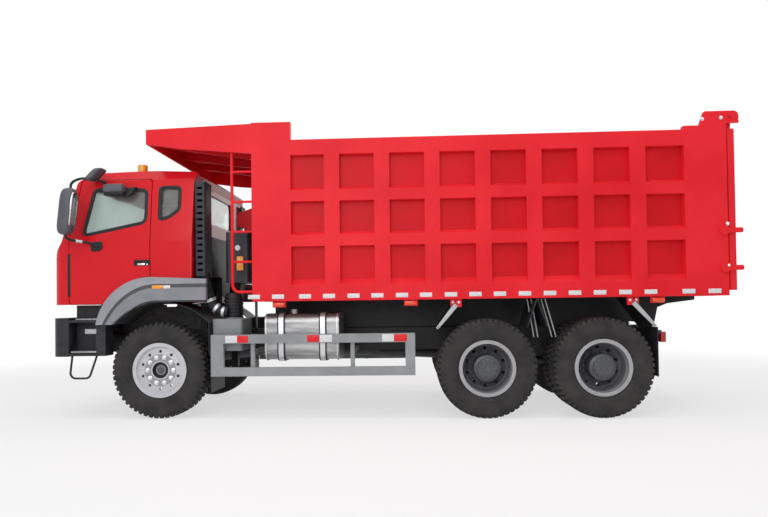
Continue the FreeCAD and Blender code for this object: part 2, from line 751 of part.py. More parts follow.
def hoist_stand():
    """Cross beam on the rails with two plates for the hoist's trunnion."""
    base_x = hoist_points()[0]
    half = HOIST_STAND_HALF_WIDTH
    beam = block(base_x - half, base_x + half, -RAIL_HALF_SPACING, RAIL_HALF_SPACING,
                 RAIL_TOP - RAIL_PLATE, RAIL_TOP + RAIL_PLATE)
    inner = HOIST_BARREL_RADIUS + MOVING_GAP
    ear = side_slab([(base_x - half, RAIL_TOP), (base_x + half, RAIL_TOP),
                     (base_x + TRUNNION_RADIUS * 2.0, HOIST_BASE_Z + TRUNNION_RADIUS * 2.0),
                     (base_x - TRUNNION_RADIUS * 2.0, HOIST_BASE_Z + TRUNNION_RADIUS * 2.0)],
                    [0, 0, TRUNNION_RADIUS, TRUNNION_RADIUS], inner, inner + TRUNNION_PLATE)
    hole = rod(vec(base_x, inner - CUT_OVERRUN, HOIST_BASE_Z),
               vec(base_x, inner + TRUNNION_PLATE + CUT_OVERRUN, HOIST_BASE_Z),
               TRUNNION_RADIUS + SHAFT_GAP)
    ear = ear.cut(hole)
    return [beam, ear, other_side(ear)]


# Front bumper: a raked beam across the front with wrapped ends, lamp recesses and a tow jaw.
def front_bumper():
    front = -FRONT_OVERHANG
    inner = BUMPER_HALF_WIDTH - BUMPER_SIDE_THICK
    plan = [(front, -BUMPER_HALF_WIDTH), (-BUMPER_SIDE_REAR, -BUMPER_HALF_WIDTH),
            (-BUMPER_SIDE_REAR, -inner),
            (front + BUMPER_DEPTH, -inner), (front + BUMPER_DEPTH, inner), (-BUMPER_SIDE_REAR, inner),
            (-BUMPER_SIDE_REAR, BUMPER_HALF_WIDTH), (front, BUMPER_HALF_WIDTH)]
    body = top_slab(plan, [BUMPER_CORNER, 0, 0, 0, 0, 0, 0, BUMPER_CORNER], BUMPER_BOTTOM, BUMPER_TOP)
    side = [(front + BUMPER_RAKE, BUMPER_BOTTOM), (-BUMPER_SIDE_REAR, BUMPER_BOTTOM),
            (-BUMPER_SIDE_REAR, BUMPER_TOP), (front, BUMPER_TOP)]
    body = body.common(side_slab(side, 0, -BUMPER_HALF_WIDTH, BUMPER_HALF_WIDTH))
    for way in (-1, 1):
        y_near = way * (inner - BUMPER_SIDE_THICK)
        y_far = way * (BUMPER_HALF_WIDTH + CUT_OVERRUN)
        well = block(-STEP_FRONT, -BUMPER_SIDE_REAR + CUT_OVERRUN, min(y_near, y_far), max(y_near, y_far),
                     BUMPER_BOTTOM - CUT_OVERRUN, BUMPER_TOP + CUT_OVERRUN)
        body = body.cut(well).cut(lamp_block(way, 0))
    return body.cut(front_tow_slot())


def front_tow_slot():
    """Slot in the bumper's face with the tow pin's bore across it, open downwards."""
    front = -FRONT_OVERHANG
    gap = TOW_JAW_GAP / 2.0
    slot = block(front - CUT_OVERRUN, front + TOW_JAW_REACH, -TOW_JAW_HALF_WIDTH, TOW_JAW_HALF_WIDTH,
                 FRONT_TOW_Z - gap, FRONT_TOW_Z + gap)
    hole_x = front + TOW_JAW_REACH - TOW_JAW_HALF_WIDTH
    hole = rod(vec(hole_x, 0, BUMPER_BOTTOM - CUT_OVERRUN),
               vec(hole_x, 0, FRONT_TOW_Z + gap + TOW_PLATE), TOW_BORE_RADIUS)
    return slot.fuse(hole)


def lamp_block(way, gap):
    front = -FRONT_OVERHANG
    return block(front - CUT_OVERRUN if gap == 0 else front + BUMPER_RAKE,
                 front + LAMP_DEPTH + BUMPER_RAKE - gap,
                 way * LAMP_MIDDLE_Y - LAMP_WIDTH / 2.0 + gap,
                 way * LAMP_MIDDLE_Y + LAMP_WIDTH / 2.0 - gap,
                 LAMP_Z - LAMP_HEIGHT / 2.0 + gap, LAMP_Z + LAMP_HEIGHT / 2.0 - gap)


# Entry steps: two treads on a backing plate below each door, with a tube loop hung below them.
def entry_steps():
    outer = BUMPER_HALF_WIDTH
    inner = outer - STEP_DEPTH
    front = -STEP_FRONT + SEAT_GAP
    back_top = CAB_BOTTOM - MOVING_GAP
    backing = block(front, -STEP_REAR, -inner, -inner + STEP_BACK_THICK, LOWER_STEP_Z - STEP_PLATE,
                    back_top)
    lower = block(front, -STEP_REAR, -outer, -inner, LOWER_STEP_Z - STEP_PLATE, LOWER_STEP_Z)
    upper = block(front, -STEP_REAR, -outer, -inner, UPPER_STEP_Z - STEP_PLATE, UPPER_STEP_Z)
    cheek = block(-STEP_REAR, -STEP_CHEEK_REAR, -outer, -inner + STEP_BACK_THICK,
                  LOWER_STEP_Z - STEP_PLATE, ARCH_FOOT_Z - SEAT_GAP)
    loop_y = -outer + LOOP_RADIUS + STEP_PLATE
    top = LOWER_STEP_Z - STEP_PLATE / 2.0
    loop = bent_tube([vec(-STEP_FRONT + LOOP_RADIUS * 2, loop_y, top),
                      vec(-LOOP_LOW_FRONT, loop_y, LOOP_BOTTOM),
                      vec(-LOOP_LOW_REAR, loop_y, LOOP_BOTTOM), vec(-LOOP_TOP_REAR, loop_y, top)],
                     LOOP_BEND, LOOP_RADIUS)
    arm = block(front + STEP_PLATE, -STEP_REAR, -inner, -RAIL_HALF_SPACING - SEAT_GAP,
                RAIL_TOP - RAIL_FLANGE,
                RAIL_TOP - RAIL_FLANGE + STEP_PLATE)
    left = joined([backing, lower, upper, cheek, loop, arm])
    return [left, other_side(left)]


# Cab: three outlines, seen from the side, the front and above, are carried through each other.
def cab_side_points(inset):
    front = -FRONT_OVERHANG + inset
    return [(front + CAB_NOSE_BACKSET, CAB_BOTTOM + inset), (CAB_REAR_X - inset, CAB_BOTTOM + inset),
            (CAB_REAR_X + (ROOF_REAR_X - CAB_REAR_X) / 3.0 - inset, CAB_REAR_TOP_Z - inset),
            (ROOF_REAR_X - inset, ROOF_REAR_Z - inset),
            (ROOF_MIDDLE_X, ROOF_MIDDLE_Z - inset),
            (-FRONT_OVERHANG + ROOF_FRONT_BACKSET, ROOF_FRONT_Z - inset),
            (front + SCREEN_TOP_BACKSET, SCREEN_TOP_Z - inset / 2.0),
            (front + SCREEN_BASE_BACKSET, CAB_BELT_Z), (front + CAB_BROW_BACKSET, CAB_BROW_Z),
            (front, CAB_NOSE_Z)]


def cab_body(inset, drop):
    side = cab_side_points(inset)
    side[0] = (side[0][0], side[0][1] - drop)
    side[1] = (side[1][0], side[1][1] - drop)
    wide = CAB_HALF_WIDTH - inset
    slim = CAB_ROOF_HALF_WIDTH - inset
    low = CAB_BOTTOM + inset - drop
    top = ROOF_MIDDLE_Z
    rounds = [0, 0, 0, ROOF_REAR_ROUND, 0, ROOF_FRONT_ROUND, SCREEN_TOP_ROUND, SCREEN_BASE_ROUND,
              BROW_ROUND, NOSE_ROUND]
    by_side = side_slab(side, rounds, -wide, wide)
    face = [(-wide, low), (wide, low), (wide, CAB_BELT_Z), (slim, SCREEN_TOP_Z - inset),
            (slim - CAB_ROOF_ROUND, top),
            (-slim + CAB_ROOF_ROUND, top), (-slim, SCREEN_TOP_Z - inset), (-wide, CAB_BELT_Z)]
    side_rounds = [0, 0, BELT_ROUND, ROOF_SIDE_ROUND, ROOF_EDGE_ROUND]
    by_front = front_slab(face, side_rounds + side_rounds[:1:-1], -FRONT_OVERHANG, ROOF_REAR_X)
    corner = CAB_CORNER - inset
    rear_corner = max(CAB_REAR_CORNER - inset, 0)
    plan = rectangle(-FRONT_OVERHANG + inset, ROOF_REAR_X - inset, -wide, wide)
    by_top = top_slab(plan, [corner, rear_corner, rear_corner, corner], low, top)
    return by_side.common(by_front).common(by_top)


def arch_region(offset, y_low, y_high):
    """All that lies under the trim's upper line."""
    centre_z = ARCH_OUTER_TOP - ARCH_OUTER_RADIUS
    drum = rod(vec(ARCH_OUTER_TOP_X, y_low, centre_z), vec(ARCH_OUTER_TOP_X, y_high, centre_z),
               ARCH_OUTER_RADIUS + offset)
    rear = side_slab([(ARCH_OUTER_TOP_X, centre_z), (ARCH_REAR_X + offset, centre_z),
                      (ARCH_REAR_X + offset, ARCH_REAR_TOP + offset),
                      (ARCH_OUTER_TOP_X, ARCH_OUTER_TOP + offset)],
                     0, y_low, y_high)
    return drum.fuse(rear)


def arch_hollow(y_low, y_high):
    centre_z = ARCH_INNER_TOP - ARCH_INNER_RADIUS
    drum = rod(vec(ARCH_INNER_TOP_X, y_low, centre_z), vec(ARCH_INNER_TOP_X, y_high, centre_z),
               ARCH_INNER_RADIUS)
    rear = side_slab([(ARCH_INNER_TOP_X, centre_z), (ARCH_REAR_X + CUT_OVERRUN, centre_z),
                      (ARCH_REAR_X + CUT_OVERRUN, ARCH_INNER_TOP), (ARCH_INNER_TOP_X, ARCH_INNER_TOP)],
                     0, y_low, y_high)
    return drum.fuse(rear)


def door_prism(gap, y_low, y_high):
    """Door outline grown by a gap and cut away over the wheel arch."""
    points = [(DOOR_FRONT_X - gap, CAB_BOTTOM + MOVING_GAP - gap),
              (DOOR_REAR_X + gap, CAB_BOTTOM + MOVING_GAP - gap),
              (DOOR_REAR_X + gap, DOOR_TOP_Z + gap), (DOOR_TOP_FRONT_X - gap, DOOR_TOP_Z + gap),
              (DOOR_FRONT_X - gap, CAB_BELT_Z)]
    prism = side_slab(points, [DOOR_CORNER, 0, DOOR_CORNER, DOOR_CORNER, 0], y_low, y_high)
    return prism.cut(arch_region(DOOR_GAP - gap, y_low - CUT_OVERRUN, y_high + CUT_OVERRUN))


def door_window(grow, y_low, y_high):
    low_front, low_rear, top_rear, top_front = (WINDOW_LOW_FRONT, WINDOW_LOW_REAR, WINDOW_TOP_REAR,
                                                WINDOW_TOP_FRONT)
    points = [(low_front[0] - grow, low_front[1] - grow), (low_rear[0] + grow, low_rear[1] - grow),
              (top_rear[0] + grow, top_rear[1] + grow), (top_front[0] - grow, top_front[1] + grow)]
    return side_slab(points, WINDOW_ROUND, y_low, y_high)


def door_hinges(way):
    """Two hinge barrels in the seam at the door's front edge."""
    radius = DOOR_GAP / 2.0 + SEAT_GAP
    x = DOOR_FRONT_X - radius + SEAT_GAP * 2.0
    y = way * (CAB_HALF_WIDTH - radius)
    return [rod(vec(x, y, z), vec(x, y, z + HINGE_BARREL_LENGTH), radius) for z in HINGE_BARREL_PLACES]


def flap_hinges():
    """Two hinge barrels in the seam over the front flap."""
    radius = FLAP_GAP - SEAT_GAP
    x = -FRONT_OVERHANG + CAB_BROW_BACKSET + radius / 2.0
    return [rod(vec(x, y, FLAP_TOP), vec(x, y + HINGE_BARREL_LENGTH, FLAP_TOP), radius)
            for y in (-FLAP_HALF_WIDTH * 0.6, FLAP_HALF_WIDTH * 0.6 - HINGE_BARREL_LENGTH)]


def quarter_window(grow, y_low, y_high):
    sill = QUARTER_BOTTOM_Z - grow
    points = [(QUARTER_FRONT_X - grow, sill),
              (QUARTER_REAR_X - QUARTER_CUT_X, sill + (QUARTER_CUT_Z - QUARTER_BOTTOM_Z) / 4.0),
              (QUARTER_REAR_X + grow, QUARTER_CUT_Z - grow),
              (QUARTER_REAR_X + grow, QUARTER_TOP_Z + grow),
              (QUARTER_FRONT_X - grow, QUARTER_TOP_Z + grow)]
    return side_slab(points, QUARTER_ROUND, y_low, y_high)


def windscreen_prism(grow):
    wide = CAB_HALF_WIDTH - SCREEN_SIDE_MARGIN + grow
    slim = CAB_ROOF_HALF_WIDTH - SCREEN_SIDE_MARGIN + grow
    face = [(-wide, CAB_BELT_Z + SCREEN_LOW_MARGIN - grow), (wide, CAB_BELT_Z + SCREEN_LOW_MARGIN - grow),
            (slim, SCREEN_TOP_Z - SCREEN_TOP_MARGIN + grow),
            (-slim, SCREEN_TOP_Z - SCREEN_TOP_MARGIN + grow)]
    return front_slab(face, WINDOW_ROUND, -FRONT_OVERHANG, DOOR_FRONT_X + CAB_WALL * 6)


def rear_window_prism(grow):
    half = REAR_WINDOW_HALF_WIDTH + grow
    face = rectangle(-half, half, REAR_WINDOW_BOTTOM - grow, REAR_WINDOW_TOP + grow)
    return front_slab(face, REAR_WINDOW_ROUND, CAB_REAR_X - CAB_WALL * 3, ROOF_REAR_X + CUT_OVERRUN)


def flap_prism(gap):
    half = FLAP_HALF_WIDTH + gap
    face = rectangle(-half, half, FLAP_BOTTOM - gap, FLAP_TOP + gap)
    return front_slab(face, FLAP_ROUND, -FRONT_OVERHANG - CUT_OVERRUN, -FRONT_OVERHANG + CAB_WALL * 4)


def cab_parts():
    outer = cab_body(0, 0)
    hollow = cab_body(CAB_WALL, 0)
    shell = outer.cut(hollow)
    # The tunnel over the engine rises into the cab's floor.
    half = CAB_TUNNEL_HALF_WIDTH
    tunnel_front = -FRONT_OVERHANG + CAB_TUNNEL_FRONT
    tunnel = block(tunnel_front, CAB_REAR_X, -half, half, CAB_BOTTOM, CAB_TUNNEL_TOP)
    inner = block(tunnel_front + CAB_WALL, CAB_REAR_X, -half + CAB_WALL, half - CAB_WALL,
                  CAB_BOTTOM, CAB_TUNNEL_TOP - CAB_WALL)
    shell = shell.fuse(tunnel.common(outer)).cut(inner)
    through = CAB_HALF_WIDTH + CUT_OVERRUN
    shell = shell.cut(arch_hollow(-through, through))
    doors = []
    glasses = []
    deep_hollow = cab_body(CAB_WALL, CAB_WALL * 2)
    leaf_hollow = cab_body(CAB_WALL - MOVING_GAP, CAB_WALL * 2)
    glass_out = cab_body(CAB_WALL / 2.0 - GLASS_THICK / 2.0, CAB_WALL * 2)
    glass_in = cab_body(CAB_WALL / 2.0 + GLASS_THICK / 2.0, CAB_WALL * 2)
    pane = glass_out.cut(glass_in)
    inner_limit = CAB_ROOF_HALF_WIDTH * 0.7
    for way in (-1, 1):
        y_low = min(way * inner_limit, way * through)
        y_high = max(way * inner_limit, way * through)
        opening = door_prism(DOOR_GAP, y_low, y_high).cut(deep_hollow)
        shell = shell.cut(opening)
        leaf = outer.common(door_prism(0, y_low, y_high)).cut(leaf_hollow)
        leaf = joined([leaf.cut(door_window(0, y_low, y_high))] + door_hinges(way))
        doors.append(leaf)
        glasses.append(pane.common(door_window(SEAT_GAP * -1, y_low, y_high)))
        shell = shell.cut(quarter_window(0, y_low, y_high))
    shell = shell.cut(windscreen_prism(0)).cut(rear_window_prism(0)).cut(flap_prism(FLAP_GAP).common(
        outer.cut(cab_body(FLAP_THICK, CAB_WALL))))
    panes = [pane.common(windscreen_prism(-SEAT_GAP)), pane.common(rear_window_prism(-SEAT_GAP))]
    for way in (-1, 1):
        y_low = min(way * inner_limit, way * through)
        y_high = max(way * inner_limit, way * through)
        panes.append(pane.common(quarter_window(-SEAT_GAP, y_low, y_high)))
    flap = outer.cut(cab_body(FLAP_THICK - MOVING_GAP, CAB_WALL)).common(flap_prism(0))
    flap = joined([flap] + flap_hinges())
    return shell, doors, glasses, panes, flap


def wheel_arch_trims():
    y_low = -ARCH_OUT
    y_high = -CAB_HALF_WIDTH
    region = arch_region(0, y_low, y_high)
    region = region.cut(block(-FRONT_OVERHANG, ARCH_REAR_X + CUT_OVERRUN, y_low - CUT_OVERRUN,
                              y_high + CUT_OVERRUN,
                              0, ARCH_FOOT_Z))
    band = region.cut(arch_hollow(y_low - CUT_OVERRUN, y_high + CUT_OVERRUN))
    return [band, other_side(band)]


def mudguards():
    """Black liner over each front wheel with a hanging flap behind it, and a flap behind the
    rear wheels on its bar."""
    y_low = -CAB_HALF_WIDTH
    y_high = -GUARD_INNER_Y
    centre_z = ARCH_INNER_TOP - ARCH_INNER_RADIUS
    ring = rod(vec(ARCH_INNER_TOP_X, y_low, centre_z), vec(ARCH_INNER_TOP_X, y_high, centre_z),
               ARCH_INNER_RADIUS - SEAT_GAP)
    core = rod(vec(ARCH_INNER_TOP_X, y_low, centre_z), vec(ARCH_INNER_TOP_X, y_high, centre_z),
               ARCH_INNER_RADIUS - SEAT_GAP - GUARD_PLATE)
    window = block(-BUMPER_SIDE_REAR + MOVING_GAP, GUARD_REAR_X, y_low, y_high, ARCH_FOOT_Z,
                   ARCH_INNER_TOP)
    liner = ring.cut(core).common(window)
    slope_top = centre_z + math.sqrt(ARCH_INNER_RADIUS ** 2 - (GUARD_REAR_X - ARCH_INNER_TOP_X) ** 2)
    swept = GUARD_REAR_X + GUARD_KICK
    edge = [(GUARD_REAR_X, slope_top), (GUARD_REAR_X, GUARD_KICK_TOP), (swept, GUARD_KICK_LOW),
            (swept, GUARD_FLAP_BOTTOM)]
    edge = edge + [(x - GUARD_PLATE, z) for x, z in reversed(edge)]
    flap = side_slab(edge, 0, y_low, y_high)
    bar = block(GUARD_REAR_X - MUDFLAP_BAR, GUARD_REAR_X, y_high - GUARD_PLATE, -RAIL_HALF_SPACING,
                ARCH_FOOT_Z - MUDFLAP_BAR * 4, ARCH_FOOT_Z - MUDFLAP_BAR * 3)
    front = joined([liner, flap, bar])
    rear_flap = block(MUDFLAP_X, MUDFLAP_X + MUDFLAP_THICK, -MUDFLAP_OUTER_Y, -MUDFLAP_INNER_Y,
                      MUDFLAP_BOTTOM, MUDFLAP_TOP)
    rear_bar = block(MUDFLAP_X + MUDFLAP_THICK, MUDFLAP_X + MUDFLAP_THICK + MUDFLAP_BAR, -MUDFLAP_OUTER_Y,
                     -RAIL_HALF_SPACING, MUDFLAP_TOP - MUDFLAP_BAR * 2, MUDFLAP_TOP - MUDFLAP_BAR)
    rear = joined([rear_flap, rear_bar])
    return [front, other_side(front), rear, other_side(rear)]


# Inside of the cab: two seats on boxes, and a dashboard with the steering wheel on its column.
def seats():
    floor = CAB_BOTTOM + CAB_WALL
    low = SEAT_MIDDLE_Y - SEAT_WIDTH / 2.0
    high = SEAT_MIDDLE_Y + SEAT_WIDTH / 2.0
    front_x = SEAT_BACK_X - SEAT_DEPTH
    cushion = side_slab(rectangle(front_x, SEAT_BACK_X, SEAT_HEIGHT_Z - SEAT_CUSHION, SEAT_HEIGHT_Z),
                        SEAT_CUSHION * 0.4, low, high)
    back = side_slab([(SEAT_BACK_X - SEAT_BACK_THICK, SEAT_HEIGHT_Z - SEAT_CUSHION),
                      (SEAT_BACK_X, SEAT_HEIGHT_Z - SEAT_CUSHION),
                      (SEAT_BACK_X + SEAT_BACK_THICK, SEAT_BACK_TOP),
                      (SEAT_BACK_X + SEAT_BACK_THICK * 0.3, SEAT_BACK_TOP)],
                     SEAT_BACK_THICK * 0.3, low, high)
    head_x = SEAT_BACK_X + SEAT_BACK_THICK * 0.3
    head = block(head_x, head_x + SEAT_BACK_THICK * 0.7, SEAT_MIDDLE_Y - HEADREST_WIDTH / 2.0,
                 SEAT_MIDDLE_Y + HEADREST_WIDTH / 2.0, SEAT_BACK_TOP - SEAT_CUSHION,
                 SEAT_BACK_TOP + SEAT_CUSHION)
    leg_low = SEAT_MIDDLE_Y - SEAT_LEG_WIDTH / 2.0 + SEAT_CUSHION
    leg = block(front_x + SEAT_CUSHION, SEAT_BACK_X - SEAT_CUSHION, leg_low, leg_low + SEAT_LEG_WIDTH,
                floor, SEAT_HEIGHT_Z - SEAT_CUSHION)
    right = joined([cushion, back, head, leg])
    return [right, other_side(right)]


def dashboard():
    front = -FRONT_OVERHANG + SCREEN_BASE_BACKSET + CAB_WALL * 1.5
    half = CAB_HALF_WIDTH - CAB_WALL * 2.5
    body = side_slab([(front, DASH_BOTTOM), (front + DASH_DEPTH, DASH_BOTTOM),
                      (front + DASH_DEPTH, DASH_TOP - DASH_ROUND),
                      (front + DASH_DEPTH / 2.0, DASH_TOP), (front, DASH_TOP)],
                     [0, DASH_ROUND, DASH_ROUND, DASH_ROUND, 0], -half, half)
    foot = block(front, front + DASH_DEPTH / 2.0, -CAB_TUNNEL_HALF_WIDTH, CAB_TUNNEL_HALF_WIDTH,
                 CAB_BOTTOM + CAB_WALL, DASH_BOTTOM)
    wheel_at = vec(STEERING_WHEEL_X, -SEAT_MIDDLE_Y, STEERING_WHEEL_Z)
    tilt = math.radians(STEERING_TILT)
    way = vec(-math.sin(tilt), 0, -math.cos(tilt))
    column = rod(wheel_at, wheel_at.add(vec(way.x, way.y, way.z).multiply(DASH_DEPTH)),
                 STEERING_COLUMN_RADIUS)
    ring = Part.makeTorus(STEERING_WHEEL_RADIUS, STEERING_RIM_RADIUS, wheel_at, way)
    spokes = []
    for turn in (0, 120, 240):
        angle = math.radians(turn)
        out = vec(math.cos(tilt) * math.cos(angle), math.sin(angle), -math.sin(tilt) * math.cos(angle))
        spokes.append(rod(wheel_at, wheel_at.add(out.multiply(STEERING_WHEEL_RADIUS)),
                          STEERING_RIM_RADIUS * 0.8))
    return joined([body, foot, column, ring] + spokes)


# Engine and gearbox as plain masses, and the shafts from the gearbox to both rear axles.
def engine_block():
    engine = side_slab(rectangle(-ENGINE_FRONT, ENGINE_REAR, ENGINE_BOTTOM, ENGINE_TOP), CAB_WALL,
                       -ENGINE_HALF_WIDTH, ENGINE_HALF_WIDTH)
    return engine


def drive_shafts():
    axis_z = RAIL_TOP - RAIL_HEIGHT
    start = ENGINE_REAR + SEAT_GAP
    gearbox = Part.makeCone(GEARBOX_RADIUS, GEARBOX_RADIUS * 0.6, GEARBOX_LENGTH,
                            vec(start, 0, axis_z + CAB_WALL), X_WAY)
    first = rod(vec(start + GEARBOX_LENGTH - SHAFT_RADIUS, 0, axis_z + CAB_WALL / 2.0),
                vec(REAR_AXLES[0] - DIFF_RADIUS, 0, AXLE_Z + DIFF_RADIUS / 3.0), SHAFT_RADIUS)
    second = rod(vec(REAR_AXLES[0] + DIFF_RADIUS, 0, AXLE_Z),
                 vec(REAR_AXLES[1] - DIFF_RADIUS, 0, AXLE_Z), SHAFT_RADIUS)
    return [joined([gearbox, first]), second]


def rear_axles():
    pieces = []
    drum_face = TWIN_INNER_Y - TYRE_WIDTH / 2.0
    for place in REAR_AXLES:
        tube = rod(vec(place, -drum_face, AXLE_Z), vec(place, drum_face, AXLE_Z), AXLE_TUBE_RADIUS)
        middle = Part.makeSphere(DIFF_RADIUS, vec(place, 0, AXLE_Z))
        spindle_end = WHEEL_REAR_Y - TWIN_SPACING / 4.0
        spindle = rod(vec(place, -spindle_end, AXLE_Z), vec(place, spindle_end, AXLE_Z), SPINDLE_RADIUS)
        pieces.append(joined([tube, middle, spindle]))
    return pieces


def front_axle():
    half = BEAM_HALF_WIDTH
    end_z = AXLE_Z
    low_z = AXLE_Z - BEAM_DROP
    tall = BEAM_HALF_HEIGHT
    flat = KING_PIN_Y - BEAM_FLAT
    below = [(-KING_PIN_Y, end_z - tall), (-flat, end_z - tall), (-BEAM_DROP_Y, low_z - tall),
             (BEAM_DROP_Y, low_z - tall),
             (flat, end_z - tall), (KING_PIN_Y, end_z - tall)]
    face = below + [(y, z + tall * 2.0) for y, z in reversed(below)]
    beam = front_slab(face, 0, -half, half)
    for way in (-1, 1):
        boss = rod(vec(FRONT_AXLE_X, way * KING_PIN_Y, end_z - KING_BOSS_HALF_HEIGHT),
                   vec(FRONT_AXLE_X, way * KING_PIN_Y, end_z + KING_BOSS_HALF_HEIGHT), KING_BOSS_RADIUS)
        beam = beam.fuse(boss)
    for way in (-1, 1):
        bore = rod(vec(FRONT_AXLE_X, way * KING_PIN_Y, end_z - KING_BOSS_HALF_HEIGHT * 2),
                   vec(FRONT_AXLE_X, way * KING_PIN_Y, end_z + KING_BOSS_HALF_HEIGHT * 2),
                   KING_PIN_RADIUS + SHAFT_GAP)
        beam = beam.cut(bore)
    return beam.removeSplitter()


def knuckle(way):
    """Fork over the axle's boss, with the king pin through it and the spindle outwards."""
    z = AXLE_Z
    boss = KING_BOSS_HALF_HEIGHT + SEAT_GAP
    top = boss + KNUCKLE_ARM_THICK
    pin = rod(vec(0, way * KING_PIN_Y, z - top), vec(0, way * KING_PIN_Y, z + top), KING_PIN_RADIUS)
    y_low = min(way * (KING_PIN_Y - KNUCKLE_HALF_WIDTH), way * KNUCKLE_BLOCK_TO)
    y_high = max(way * (KING_PIN_Y - KNUCKLE_HALF_WIDTH), way * KNUCKLE_BLOCK_TO)
    upper = block(-KNUCKLE_HALF_WIDTH, KNUCKLE_HALF_WIDTH, y_low, y_high, z + boss, z + top)
    lower = block(-KNUCKLE_HALF_WIDTH, KNUCKLE_HALF_WIDTH, y_low, y_high, z - top, z - boss)
    back_low = min(way * KNUCKLE_BLOCK_FROM, way * KNUCKLE_BLOCK_TO)
    back_high = max(way * KNUCKLE_BLOCK_FROM, way * KNUCKLE_BLOCK_TO)
    back = block(-KNUCKLE_HALF_WIDTH, KNUCKLE_HALF_WIDTH, back_low, back_high, z - top, z + top)
    spindle_end = WHEEL_FRONT_Y + HUB_CAP_OUT - DISC_PLATE
    spindle = rod(vec(0, way * KNUCKLE_BLOCK_TO, z), vec(0, way * spindle_end, z), SPINDLE_RADIUS)
    relief = rod(vec(0, way * KING_PIN_Y, z - boss), vec(0, way * KING_PIN_Y, z + boss),
                 KING_BOSS_RADIUS + SEAT_GAP)
    return joined([upper, lower, back, spindle]).cut(relief).fuse(pin).removeSplitter()


def leaf_springs():
    """Each pack is a stack of leaves, shorter towards the axle; the rear packs lie over the
    middle of the tandem."""
    low_z = AXLE_Z - BEAM_DROP + BEAM_HALF_HEIGHT + SEAT_GAP
    outer = RAIL_HALF_SPACING
    front = []
    for leaf in range(FRONT_SPRING_LEAVES):
        half = FRONT_SPRING_HALF_LENGTH * (1.0 - SPRING_STEP_SHARE * (FRONT_SPRING_LEAVES - 1 - leaf))
        front.append(block(-half, half, outer - 2 * SPRING_HALF_WIDTH, outer, low_z + leaf * SPRING_LEAF,
                           low_z + (leaf + 1) * SPRING_LEAF))
    top = low_z + FRONT_SPRING_LEAVES * SPRING_LEAF
    rail_low = RAIL_TOP - RAIL_HEIGHT
    for way in (-1, 1):
        end = way * (FRONT_SPRING_HALF_LENGTH - SPRING_HALF_WIDTH)
        front.append(block(end - SPRING_HALF_WIDTH, end + SPRING_HALF_WIDTH,
                           outer - 2 * SPRING_HALF_WIDTH, outer,
                           top - SPRING_LEAF, rail_low - SEAT_GAP))
    rear = []
    middle = (REAR_AXLES[0] + REAR_AXLES[1]) / 2.0
    axle_top = AXLE_Z + AXLE_TUBE_RADIUS + SEAT_GAP
    reach = REAR_AXLE_GAP / 2.0 + SPRING_HALF_WIDTH
    for leaf in range(REAR_SPRING_LEAVES):
        half = reach * (1.0 - SPRING_STEP_SHARE * leaf)
        rear.append(block(middle - half, middle + half, outer + SPRING_LEAF,
                          outer + SPRING_LEAF + SPRING_HALF_WIDTH * 2,
                          axle_top + leaf * SPRING_LEAF, axle_top + (leaf + 1) * SPRING_LEAF))
    saddle_top = rail_low + RAIL_HEIGHT / 2.0
    saddle_low = axle_top + REAR_SPRING_LEAVES * SPRING_LEAF
    rear.append(front_slab([(outer + SEAT_GAP, saddle_low),
                            (outer + SPRING_LEAF + SPRING_HALF_WIDTH * 2, saddle_low),
                            (outer + SPRING_LEAF + SPRING_HALF_WIDTH, saddle_top),
                            (outer + SEAT_GAP, saddle_top)], 0,
                           middle - SPRING_HALF_WIDTH * 2, middle + SPRING_HALF_WIDTH * 2))
    front_pack = joined(front)
    rear_pack = joined(rear)
    return [front_pack, other_side(front_pack), rear_pack, other_side(rear_pack)]


# Wheels. A tyre is turned from its section; the rim, disc, hub and drum are turned as one piece.
def tyre(x, y_middle):
    half = TYRE_WIDTH / 2.0
    near = [(BEAD_RADIUS, BEAD_HALF_WIDTH), (RIM_FLANGE_RADIUS + SEAT_GAP, BEAD_HALF_WIDTH),
            (RIM_FLANGE_RADIUS + RIM_EDGE, (BEAD_HALF_WIDTH + half) / 2.0), (SIDEWALL_RADIUS, half),
            (SHOULDER_RADIUS, SHOULDER_HALF_WIDTH), (TYRE_RADIUS, TREAD_CROWN_HALF_WIDTH)]
    profile = near + [(r, -y) for r, y in reversed(near)]
    moved = [(r, y_middle + y) for r, y in profile]
    return turned(moved, x, AXLE_Z, 1)


